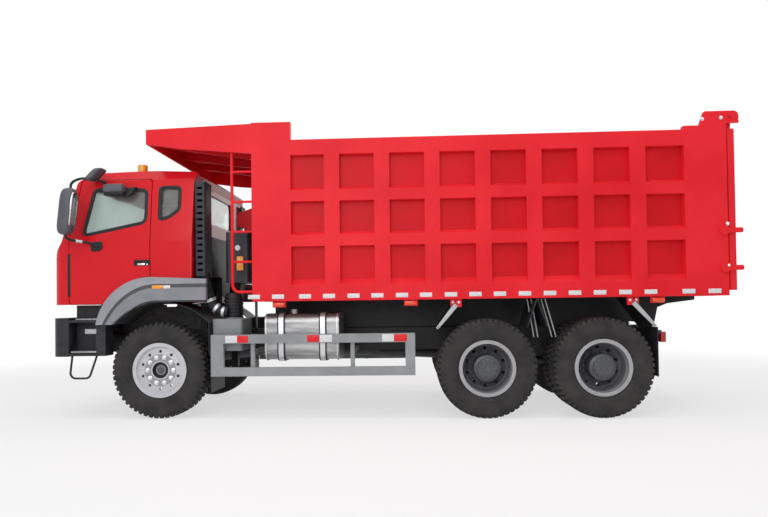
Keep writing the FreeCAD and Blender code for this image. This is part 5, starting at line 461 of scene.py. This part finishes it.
chrome = finish("chrome", (0.72, 0.72, 0.74), (0.86, 0.86, 0.88), 0.18, metal=1.0, grain=12.0, skin=600.0,
                bump=0.05)
hub_grey = finish("hub_casting", (0.075, 0.078, 0.083), (0.125, 0.13, 0.136), 0.5, grain=16.0, skin=260.0,
                  bump=0.5)
NUT = np.array([(0, 0.030), (0.010, 0.030), (0.0165, 0.024), (0.0175, 0.012), (0.0175, 0.006), (0.024,
                                                                                                0.006),
                                                                                                (0.025, 0.0),
                (0, 0.0)])
for node, body, middle, sign in WHEELS:
    front = node.startswith("front")
    # Colour rings by distance from the axle: the hub's grey and the rim's silver, with painted shade as the
    # front's dark ring and as the rear rims' dark greys, darkest towards the hub.
    if front:
        rim_rings_and_shade = [(0.0, (0.30, 0.31, 0.32)), (0.063, (0.03, 0.03, 0.033)), (0.104, (0.66, 0.66, 0.67)),
                 (0.116, (0.36, 0.36, 0.37)), (0.205, SILVER)]
    else:
        rim_rings_and_shade = [(0.0, (0.10, 0.103, 0.108)), (0.17, (0.085, 0.087, 0.092)), (0.205, (0.15, 0.152, 0.158)),
                 (0.26, (0.22, 0.222, 0.23)), (0.296, (0.42, 0.42, 0.43))]
    rim_paint_and_shade = finish("rim_" + body, (0.9, 0.9, 0.9), (1.0, 1.0, 1.0), 0.4, metal=0.15, grain=3.0,
                       skin=300.0, bump=0.1)
    coat_nodes(by_place(rim_paint_and_shade, rim_rings_and_shade, centre=middle), node)
    if front:
        face = middle.y + sign * 0.0995
        nuts = [turned(NUT * (1.25, 1.15), at, sign, 12) for at in ring_of(10, 0.1675, (middle.x, face,
                                                                                        middle.z))]
        make("wheel_nuts_" + body, nuts, chrome, body)
        cap = [(0, 0.082), (0.044, 0.082), (0.052, 0.076), (0.064, 0.070), (0.064, 0.02), (0, 0.02)]
        make("hub_cap_" + body, [turned(cap, middle, sign, 40)], hub_grey, body)
    else:
        cover = [(0, PLANET_FACE), (0.030, PLANET_FACE), (0.034, PLANET_FACE - 0.006), (0.112,
                                                                                        PLANET_FACE - 0.006),
                 (PLANET_R - 0.004, PLANET_FACE - 0.010), (PLANET_R, PLANET_FACE - 0.018), (PLANET_R, 0.07),
                 (0, 0.07)]
        shells = [turned(cover, middle, sign, 120, lobes=12, depth=0.07)]
        at = (middle.x, middle.y + sign * (PLANET_FACE - 0.024), middle.z)
        shells += [turned(NUT * 0.55, place, sign, 6) for place in ring_of(12, 0.1115, (middle.x,
                                                                                        at[1] + sign * 0.017,
                                                                                        middle.z), 0.5)]
        make("planet_cover_" + body, shells, hub_grey, body)
        at = (middle.x, middle.y - sign * 0.125, middle.z)
        nuts = [turned(NUT, place, sign, 12) for place in ring_of(10, 0.182, at)]
        make("wheel_nuts_" + body, nuts, hub_grey, body)

# Bed trim. White reflecting strips, side lamps, bolts and the stays of the mudguards are bolted or
# stuck on. Each strip is 150 mm long on the lower band, and the lamps hang under it on brackets.
STRIP_PLACES = (-1.645, -1.343, -1.005, -0.706, -0.402, -0.107, 0.196, 0.49, 0.796, 1.094, 1.391, 1.693,
                1.994,
                2.293, 2.592, 2.895, 3.197, 3.644, 3.949)
STRIP_Z = 1.527
LAMP_PLACES = (-1.338, 0.305, 3.290)
BED_SIDE = 1.2495


def slab(low, high, edge=0.004):
    """A bar along x between two corners. Its section is a rectangle with arcs of the edge's radius at
    the corners, and its two ends draw in by the same radius."""
    low, high = np.minimum(low, high), np.maximum(low, high)
    middle, half = (low + high) / 2, (high - low) / 2
    edge = min(edge, half.min() * 0.9)
    angle = (np.arange(12) // 3 * 90 + np.arange(12) % 3 * 45) * math.pi / 180
    corner = np.sign(np.stack([np.cos(np.arange(12) // 3 * math.pi / 2 + 0.7),
                               np.sin(np.arange(12) // 3 * math.pi / 2 + 0.7)], -1))
    arc = np.stack([np.cos(angle), np.sin(angle)], -1)
    share = np.array([0.2, 0.75, 1.0, 1.0, 0.75, 0.2])[:, None, None]
    section = corner * (half[1:] - edge) + edge * share * arc
    x = middle[0] + half[0] * np.array([-1, -1, -1, 1, 1, 1]) + edge * np.array([0, 0.35, 1, -1, -0.35, 0])
    points = np.concatenate([np.broadcast_to(x[:, None, None], (6, 12, 1)), middle[1:] + section], -1)
    return points, grid(6, 12, close_columns=True), [np.arange(12)], [np.arange(60, 72)]


def carried(path, profile, across, upward, closed=False):
    """A closed profile carried along a path. At each station the profile's first number runs along
    the across direction and its second along the upward one."""
    path = np.asarray(path, float)
    across, upward = np.broadcast_to(across, path.shape), np.broadcast_to(upward, path.shape)
    points = path[:, None] + profile[..., :1] * across[:, None] + profile[..., 1:] * upward[:, None]
    rows, columns = points.shape[:2]
    faces = grid(rows, columns, close_rows=closed, close_columns=True)
    if closed:
        return points, faces
    return points, faces, [np.arange(columns)], [np.arange((rows - 1) * columns, rows * columns)]


def pipe(route, radius, around=16, steps=6, swell=None):
    """A round pipe along a smooth line through the route's points: between two points, the line is
    the cubic with their neighbours' slopes. Swell is the radius's share at each station."""
    route = np.asarray(route, float)
    ends = np.concatenate([[2 * route[0] - route[1]], route, [2 * route[-1] - route[-2]]])
    t = (np.arange(steps) / steps)[None, :, None]
    a, b, c, d = (ends[i:len(ends) - 3 + i, None] for i in range(4))
    line = 0.5 * (2 * b + (c - a) * t + (2 * a - 5 * b + 4 * c - d) * t ** 2
                  + (3 * b - a - 3 * c + d) * t ** 3)
    line = np.concatenate([line.reshape(-1, 3), route[-1:]])
    way = np.gradient(line, axis=0)
    way /= np.linalg.norm(way, axis=1)[:, None]
    across = np.cross(way, (0.13, 0.35, 0.93) if abs(way[:, 2]).max() < 0.9 else (0.9, 0.35, 0.1))
    across /= np.linalg.norm(across, axis=1)[:, None]
    angle = np.arange(around) * (2 * math.pi / around)
    circle = radius * np.stack([np.cos(angle), np.sin(angle)], -1)
    share = np.ones(len(line)) if swell is None else swell(np.arange(len(line)))
    return carried(line, circle[None] * share[:, None, None], across, np.cross(way, across))


marker_white = finish("marker_white", (0.66, 0.67, 0.68), (0.84, 0.84, 0.84), 0.3, grain=60.0, skin=900.0,
                      bump=0.2)
lamp_orange = finish("lamp_orange", (0.80, 0.05, 0.01), (0.95, 0.10, 0.02), 0.2, coat=0.5, grain=20.0,
                     skin=700.0)
stay_grey = finish("stay_grey", (0.40, 0.42, 0.43), (0.52, 0.54, 0.55), 0.35, metal=0.3, grain=6.0,
                   skin=300.0)
trim_red = finish("trim_red", RED_DEEP, RED, 0.4, grain=3.0, skin=400.0, shine=0.25)
strips, lamps, brackets, stays, tabs, bolts = [], [], [], [], [], []
for sign in (-1, 1):
    for x in STRIP_PLACES:
        strips.append(slab((x - 0.075, sign * (BED_SIDE - 0.004), STRIP_Z - 0.027),
                           (x + 0.075, sign * (BED_SIDE + 0.0025), STRIP_Z + 0.027), 0.002))
    for x in LAMP_PLACES:
        lamps.append(slab((x - 0.075, sign * 1.248, 1.402), (x + 0.075, sign * 1.205, 1.452), 0.012))
        brackets.append(slab((x - 0.085, sign * 1.207, 1.392), (x + 0.085, sign * 1.196, 1.480), 0.004))
    for x, foot in ((3.00, (3.263, 1.108)), (0.859, (0.62, 1.108))):
        tabs.append(slab((x - 0.07, sign * 1.205, 1.37), (x + 0.07, sign * 1.165, 1.480), 0.006))
        way = np.array([foot[0] - x, 0.0, foot[1] - 1.40])
        route = np.array([(x, sign * 1.21, 1.40)]) + np.array([[0.0], [0.5], [1.0]]) * way
        taper = np.array([1.0, 0.85, 0.55])[:, None, None]
        side = np.cross(way / np.linalg.norm(way), (0, 1, 0))
        blade = np.array([(-0.028, -0.008), (0.028, -0.008), (0.028, 0.008), (-0.028, 0.008)])
        stays.append(carried(route, blade[None] * taper, side, (0, 1, 0)))
        bolts += [turned(NUT * 0.7, (x + dx, sign * 1.204, 1.43), sign, 6) for dx in (-0.035, 0.035)]
    for x, lean in ((1.761, 0.075), (1.81, 0.075), (1.93, 0.13), (1.98, 0.13)):
        stays.append(pipe([(x, sign * 1.02, 1.46), (x + lean, sign * 1.02, 0.98)], 0.009, 8, 1))
    bolts += [turned(NUT, (x, sign * 1.250, z), sign, 6) for x, z in ((3.84, 3.60), (4.06, 3.61))]
    bolts += [turned(NUT, (4.105, sign * 1.262, z), sign, 6) for z in (2.33, 1.83)]
make("reflecting_strips", strips, marker_white, "bed")
make("bed_side_lamps", lamps, lamp_orange, "bed")
make("side_lamp_brackets", brackets, trim_red, "bed")
make("mudguard_stays", stays, stay_grey, "root")
make("stay_tabs", tabs, trim_red, "root")
make("bed_bolts", bolts, chrome, "bed")

# Cab glazing. Green-tinted panes sit in black rubber seals; the outline of each seal follows the
# window opening, and the side of the cab leans in above the belt.
BELT_Z = 2.262
LEAN_IN = 0.1142
SEAL_HALF = 0.021


def seal(outline, radius, sign, half=SEAL_HALF, proud=0.006):
    """A flat band carried round an outline in the leaning side of the cab. Each corner is an arc, the
    blend of its two neighbours' directions with a parameter t: corner - r a (1 - t)^2 - r b t^2."""
    corner = np.asarray(outline, float)
    back = np.roll(corner, 1, 0) - corner
    on = np.roll(corner, -1, 0) - corner
    back /= np.linalg.norm(back, axis=1)[:, None]
    on /= np.linalg.norm(on, axis=1)[:, None]
    t = np.linspace(0, 1, 7)[None, :, None]
    flat = (corner[:, None] + radius * (back[:, None] * (1 - t) ** 2 + on[:, None] * t ** 2)).reshape(-1, 2)
    run = np.roll(flat, -1, 0) - np.roll(flat, 1, 0)
    run /= np.linalg.norm(run, axis=1)[:, None]
    y = sign * (1.175 - LEAN_IN * (flat[:, 1] - BELT_Z))
    path = np.stack([flat[:, 0], y, flat[:, 1]], -1)
    across = np.stack([run[:, 1], 0 * y, -run[:, 0]], -1)
    profile = np.array([(-half, -0.010), (half, -0.010), (half, proud * 0.6), (half * 0.6, proud),
                        (-half * 0.6, proud),
                        (-half, proud * 0.6)])
    return carried(path, profile[None], across, (0, sign, 0), closed=True)


DOOR_WINDOW = [(-3.8705, 2.338), (-3.0605, 2.500), (-3.0605, 2.925), (-3.7455, 2.940)]
QUARTER_WINDOW = [(-2.8855, 2.528), (-2.7575, 2.561), (-2.6275, 2.66), (-2.6275, 2.95), (-2.8855, 2.95)]
seal_black = finish("seal_rubber", (0.010, 0.010, 0.011), (0.020, 0.020, 0.022), 0.55, grain=20.0, skin=500.0)


def pane(name, tint, rough=0.03):
    """A tinted clear pane with a faint ripple, and dust that moves its roughness a little."""
    material = finish(name, tuple(c * 0.94 for c in tint), tint, rough, grain=2.0, skin=3.0, bump=0.02,
                      shine=0.6)
    material.node_tree.nodes["Principled BSDF"].inputs["Transmission Weight"].default_value = 0.86
    return material


coat_nodes(pane("cab_glass", (0.70, 0.78, 0.75)), "cab_glass", "door_glass_left", "door_glass_right")
for side, sign in (("left", -1), ("right", 1)):
    make("door_window_seal_" + side, [seal(DOOR_WINDOW, 0.075, sign)], seal_black, "door_" + side)
    make("quarter_seal_" + side, [seal(QUARTER_WINDOW, 0.05, sign)], seal_black, "root")
    handle = [slab((-3.205, sign * 1.168, 1.945), (-2.998, sign * 1.180, 2.02), 0.012),
              slab((-3.195, sign * 1.178, 1.985), (-3.008, sign * 1.196, 2.012), 0.008)]
    make("door_handle_" + side, handle, seal_black, "door_" + side)
    plate = [slab((-3.155, sign * 1.178, 1.952), (-3.06, sign * 1.1825, 1.975), 0.002),
             turned([(0, 0.004), (0.011, 0.003), (0.012, 0), (0, 0)], (-3.03, sign * 1.180, 1.96), sign, 20)]
    make("door_lock_" + side, plate, chrome, "door_" + side)

# Lamps. Clear lenses in front, an amber beacon on the roof, amber indicators over the front wheels,
# and red lamps at the rear; all are moulded with fine upright prisms.
lens = finish("lamp_lens", (0.92, 0.92, 0.92), (1.0, 1.0, 1.0), 0.12, coat=0.5, grain=30.0, skin=200.0,
              bump=0.3,
              stretch=(1.0, 6.0, 1.0))
by_place(lens, [(-4.5, (0.75, 0.77, 0.78)), (-3.9, (0.95, 0.42, 0.03)), (2.0, (0.62, 0.02, 0.02))], axis=0)
coat_nodes(lens, "lamps")
indicator_amber = finish("indicator_amber", (0.92, 0.30, 0.03), (0.98, 0.42, 0.05), 0.2, coat=0.5,
                         grain=20.0, skin=500.0)
indicator_clear = finish("indicator_clear", (0.75, 0.74, 0.72), (0.85, 0.85, 0.84), 0.2, coat=0.5,
                         grain=20.0, skin=500.0)
amber, clear = [], []
for sign in (-1, 1):
    amber.append(slab((-2.946, sign * 1.225, 1.645), (-2.80, sign * 1.246, 1.692), 0.010))
    clear.append(slab((-2.80, sign * 1.225, 1.647), (-2.71, sign * 1.245, 1.690), 0.010))
make("arch_indicators", amber, indicator_amber, "root")
make("arch_indicator_ends", clear, indicator_clear, "root")

# Fuel tank. It is brushed aluminium with two stainless straps over rubber, welded end caps, a
# silver filler neck with a black cap, and a drain plug under it.
tank_metal = finish("tank_aluminium", (0.22, 0.22, 0.225), (0.46, 0.46, 0.465), 0.34, metal=0.75, grain=1.6,
                    skin=420.0,
                    bump=0.1, stretch=(1.0, 7.0, 7.0))
coat_nodes(tank_metal, "fuel_tank")
strap_steel = finish("strap_steel", (0.55, 0.56, 0.57), (0.68, 0.69, 0.70), 0.3, metal=0.5, grain=8.0,
                     skin=500.0)
TANK_FACE, TANK_BACK, TANK_LOW, TANK_HIGH, TANK_EDGE = -1.139, -0.43, 0.722, 1.312, 0.095


def hoop(x, width, lift):
    """A strap round the tank: a rectangle with arcs at its corners, carried round at one place."""
    angle = np.arange(32) * (2 * math.pi / 32) + 0.001
    corner = np.stack([np.sign(np.cos(angle)), np.sign(np.sin(angle))], -1)
    middle = np.array([(TANK_FACE + TANK_BACK) / 2, (TANK_LOW + TANK_HIGH) / 2])
    half = np.array([(TANK_BACK - TANK_FACE) / 2, (TANK_HIGH - TANK_LOW) / 2])
    arc = np.stack([np.cos(angle), np.sin(angle)], -1)
    flat = middle + corner * (half - TANK_EDGE) + (TANK_EDGE + lift) * arc
    path = np.concatenate([np.full((32, 1), x), flat], -1)
    across = np.concatenate([np.zeros((32, 1)), arc], -1)
    profile = np.array([(-0.008, -width / 2), (0.0, -width / 2), (0.0, width / 2), (-0.008, width / 2)])
    return carried(path, profile[None], across, (1.0, 0, 0), closed=True)


STRAP_PLACES = (-1.334, -0.807)
SEAM_PLACES = (-1.525, -0.625)
make("tank_straps", [hoop(x, 0.062, 0.011) for x in STRAP_PLACES], strap_steel, "root")
make("tank_strap_rubber", [hoop(x, 0.094, 0.008) for x in STRAP_PLACES], seal_black, "root")
make("tank_seams", [hoop(x, 0.012, 0.004) for x in SEAM_PLACES], strap_steel, "root")

# Reflecting tapes on the side guards: three pairs a side, one white and one red in each.
tape_red = finish("tape_red", (0.72, 0.012, 0.02), (0.84, 0.02, 0.03), 0.35, grain=60.0, skin=900.0)
white_tapes, red_tapes = [], []
for sign in (-1, 1):
    for start, end, tapes in ((-2.023, -1.874, white_tapes), (-1.871, -1.733, red_tapes), (-0.990, -0.841,
                                                                                           red_tapes),
                              (-0.834, -0.679, white_tapes), (-0.057, 0.088, white_tapes), (0.091, 0.25,
                                                                                            red_tapes)):
        tapes.append(slab((start, sign * 1.2135, 0.957), (end, sign * 1.2175, 1.046), 0.0015))
make("guard_tapes_white", white_tapes, marker_white, "root")
make("guard_tapes_red", red_tapes, tape_red, "root")

# Intake. Clean air comes down a tall stack behind the cab, through a corrugated rubber bellows and a
# black elbow in silver clamps, into the filter's housing.
bellows_rubber = finish("bellows_rubber", (0.010, 0.010, 0.012), (0.024, 0.024, 0.027), 0.6, grain=14.0,
                        skin=400.0)
BELLOWS = [(-2.335, -1.04, 1.86), (-2.335, -1.04, 1.74), (-2.32, -1.03, 1.62), (-2.29, -1.02, 1.52)]
ELBOW = [(-2.29, -1.02, 1.53), (-2.25, -1.01, 1.44), (-2.17, -1.0, 1.37), (-2.05, -1.0, 1.34)]
make("intake_bellows", [pipe(BELLOWS, 0.075, 24, 16, swell=lambda n: 0.93 + 0.07 * np.cos(n * math.pi / 2))],
     bellows_rubber, "root")
make("intake_elbow", [pipe(ELBOW, 0.062, 24, 6)], bellows_rubber, "root")
CLAMPS = (((-2.283, -1.018, 1.515), (-2.270, -1.014, 1.480)), ((-2.215, -1.005, 1.405), (-2.185, -1.002,
                                                                                         1.383)),
          ((-2.125, -1.0, 1.352), (-2.09, -1.0, 1.345)))
make("elbow_clamps", [pipe(ends, 0.067, 24, 1) for ends in CLAMPS], strap_steel, "root")
gauge = [turned([(0, 0.012), (0.03, 0.011), (0.036, 0.006), (0.036, 0), (0, 0)], (-1.93, -0.96, 2.17), -1,
                28)]
make("oil_gauge", gauge, marker_white, "root")

# Mirrors. Each door carries a tall mirror in a moulded housing on two tube arms, a wide-angle mirror
# over the window and a small one that looks down in front; the arms end in a cast foot.
def pod(low, high, half, square=0.55):
    """A rounded housing carried from its low end to its high one: the section is a rounded rectangle
    and its size falls off as the sixth root of 1 - t^6 towards both ends."""
    t = np.sin(np.linspace(-math.pi / 2, math.pi / 2, 21))
    low, high = np.asarray(low, float), np.asarray(high, float)
    path = low + (high - low) * (0.5 + 0.5 * t)[:, None]
    angle = np.arange(32) * (2 * math.pi / 32)
    flat = np.stack([np.cos(angle), np.sin(angle)], -1)
    flat = np.sign(flat) * np.abs(flat) ** square * half
    fall = np.maximum(1 - np.abs(t) ** 6, 1e-6) ** (1 / 3.0)
    return carried(path, flat[None] * fall[:, None, None], (1, 0, 0), (0, 1, 0))


mirror_grey = finish("mirror_grey", (0.075, 0.078, 0.09), (0.13, 0.133, 0.15), 0.4, grain=4.0, skin=600.0,
                     bump=0.2)
mirror_glass = finish("mirror_glass", (0.62, 0.66, 0.68), (0.72, 0.76, 0.78), 0.06, metal=1.0, grain=2.0,
                      skin=3.0, bump=0.02)
for side, sign in (("left", -1), ("right", 1)):
    body = "door_" + side
    head = make("mirror_head_" + side, [pod((-3.962, sign * 1.412, 2.325), (-3.896, sign * 1.412, 2.905),
                                            (0.088, 0.092)),
                                        pod((-3.76, sign * 1.21, 3.03), (-3.60, sign * 1.21, 3.185), (0.055,
                                                                                                      0.10))],
                mirror_grey, body)
    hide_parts("mirror_" + side)
    arms = [pipe([(-3.90, sign * 1.40, 2.88), (-3.885, sign * 1.38, 2.98), (-3.80, sign * 1.30, 3.045),
                  (-3.66, sign * 1.17, 3.045),
                  (-3.60, sign * 1.10, 3.02)], 0.016, 12, 6),
            pipe([(-3.96, sign * 1.40, 2.36), (-3.955, sign * 1.39, 2.29), (-3.90, sign * 1.33, 2.262),
                  (-3.78, sign * 1.21, 2.245), (-3.70, sign * 1.175, 2.225)], 0.016, 12, 6),
            pod((-3.775, sign * 1.186, 2.205), (-3.60, sign * 1.186, 2.185), (0.03, 0.020)),
            pod((-3.70, sign * 1.176, 2.135), (-3.67, sign * 1.176, 2.262), (0.070, 0.016)),
            slab((-3.560, sign * 1.13, 2.836), (-3.308, sign * 1.26, 2.880), 0.018),
            pod((-3.30, sign * 1.15, 2.83), (-3.22, sign * 1.12, 2.96), (0.05, 0.04))]
    make("mirror_arms_" + side, arms, seal_black, body)
    make("wide_mirror_" + side, [slab((-3.564, sign * 1.12, 2.872), (-3.304, sign * 1.27, 2.985), 0.035)],
         mirror_grey, body)
    make("mirror_glass_" + side, [pod((-3.905, sign * 1.412, 2.37), (-3.842, sign * 1.412, 2.86), (0.035,
                                                                                                   0.078))],
         mirror_glass, body)
    sleeve = [pipe([(-3.885, sign * 1.315, 2.260), (-3.83, sign * 1.26, 2.252)], 0.021, 16, 1)]
    make("mirror_sleeve_" + side, sleeve, strap_steel, body)

# Cab trim. Light ribbed treads lie on the steps, a bare plate stands behind them, louvres vent the front
# corners, and near-black sheets of painted shade cover the back of the cab round its window.
tread_grey = finish("step_tread", (0.28, 0.285, 0.29), (0.40, 0.405, 0.41), 0.45, metal=0.4, grain=30.0,
                    skin=300.0, bump=0.6)
treads, plates, louvres, back_shade_sheets = [], [], [], []
for sign in (-1, 1):
    treads.append(slab((-3.963, sign * 1.193, 1.262), (-3.63, sign * 1.10, 1.282), 0.006))
    treads.append(slab((-4.02, sign * 1.196, 0.846), (-3.68, sign * 1.06, 0.868), 0.006))
    plates.append(slab((-3.928, sign * 1.030, 1.081), (-3.729, sign * 1.022, 1.144), 0.003))
    louvres.append(slab((-4.072, sign * 1.168, 1.56), (-4.030, sign * 1.1765, 2.11), 0.006))
    # Near-black slabs against the cab's red back wall: painted shade where that wall lies in shade.
    back_shade_sheets.append(slab((-2.4235, sign * 0.88, 1.56), (-2.402, sign * 1.10, 3.02), 0.008))
back_shade_sheets += [slab((-2.4235, -0.88, 1.56), (-2.402, 0.88, 2.37), 0.008)]
make("step_treads", treads, tread_grey, "root")
make("step_plates", plates, marker_white, "root")
make("corner_vents", louvres, seal_black, "root")
make("cab_back_painted_shade", back_shade_sheets, seal_black, "root")
level_mark = [slab((-1.941, -0.963, 1.875), (-1.852, -0.985, 2.06), 0.010)]
make("oil_level_guard", level_mark, indicator_amber, "root")

# Cab interior. Two sprung seats are trimmed in dark woven cloth over foam, with sewn channels
# across them; the dashboard and the wheel are moulded.
SEAT_Y = 0.62
seat_cloth = finish("seat_cloth", (0.030, 0.032, 0.038), (0.060, 0.063, 0.072), 0.85, grain=10.0, skin=900.0,
                    bump=0.8)
seat_cloth.node_tree.nodes["Principled BSDF"].inputs["Sheen Weight"].default_value = 0.3


def cushion(middle, half, tilt, channels=()):
    """A crowned pad: rings stand across the seat, each a rounded rectangle whose size falls off as
    the sixth root of 1 - t^6 towards the two sides. Sewn channels sink where it crosses them, and
    the middle of every face stands proud. Tilt turns it about the seat's cross axis."""
    t = np.sin(np.linspace(-math.pi / 2, math.pi / 2, 33))[:, None]
    angle = np.arange(64)[None, :] * (2 * math.pi / 64)
    fall = np.maximum(1 - np.abs(t) ** 6, 1e-9) ** (1 / 3.0)
    crown = 1 + 0.07 * (1 - t ** 2)
    u = np.sign(np.cos(angle)) * np.abs(np.cos(angle)) ** 0.42
    v = np.sign(np.sin(angle)) * np.abs(np.sin(angle)) ** 0.6
    sink = sum(np.exp(-((u - place) / 0.035) ** 2) for place in channels) if channels else 0 * u
    x = half[0] * u * (0.9 + 0.1 * fall) * (1 - 0.02 * (1 - t ** 2))
    z = half[2] * v * fall * crown * (1 - 0.16 * sink) * (0.88 + 0.12 * (1 - u ** 2))
    y = half[1] * t + 0 * x
    c, s = math.cos(tilt), math.sin(tilt)
    points = np.stack([middle[0] + x * c + z * s, middle[1] + y, middle[2] - x * s + z * c], -1)
    return points, grid(33, 64, close_columns=True), [np.arange(64)], [np.arange(32 * 64, 33 * 64)]


for side, sign in (("left", -1), ("right", 1)):
    y = sign * SEAT_Y
    shells = [cushion((-3.005, y, 2.012), (0.232, 0.245, 0.066), 0.03, (-0.45, 0.0, 0.45)),
              cushion((-2.715, y, 2.36), (0.33, 0.235, 0.060), -math.pi / 2 + 0.16, (-0.5, -0.1, 0.3, 0.65)),
              cushion((-2.683, y, 2.80), (0.085, 0.135, 0.045), -math.pi / 2 + 0.16)]
    seat = make("seat_" + side, shells, seat_cloth, "root", sharp=80.0)
    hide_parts("seats")
    pedestal = [slab((-3.17, y - 0.16, 1.521), (-2.84, y + 0.16, 1.95), 0.03)]
    make("seat_base_" + side, pedestal, moulded_black, "root")

# Hoist. The rams are ground and chromed; the barrel is painted with the chassis.
ram_chrome = finish("ram_chrome", (0.55, 0.55, 0.57), (0.68, 0.68, 0.70), 0.16, metal=1.0, grain=6.0,
                    skin=300.0, bump=0.05)
coat_nodes(ram_chrome, "hoist_stage_1", "hoist_stage_2", "hoist_stage_3", "hoist_stage_4")
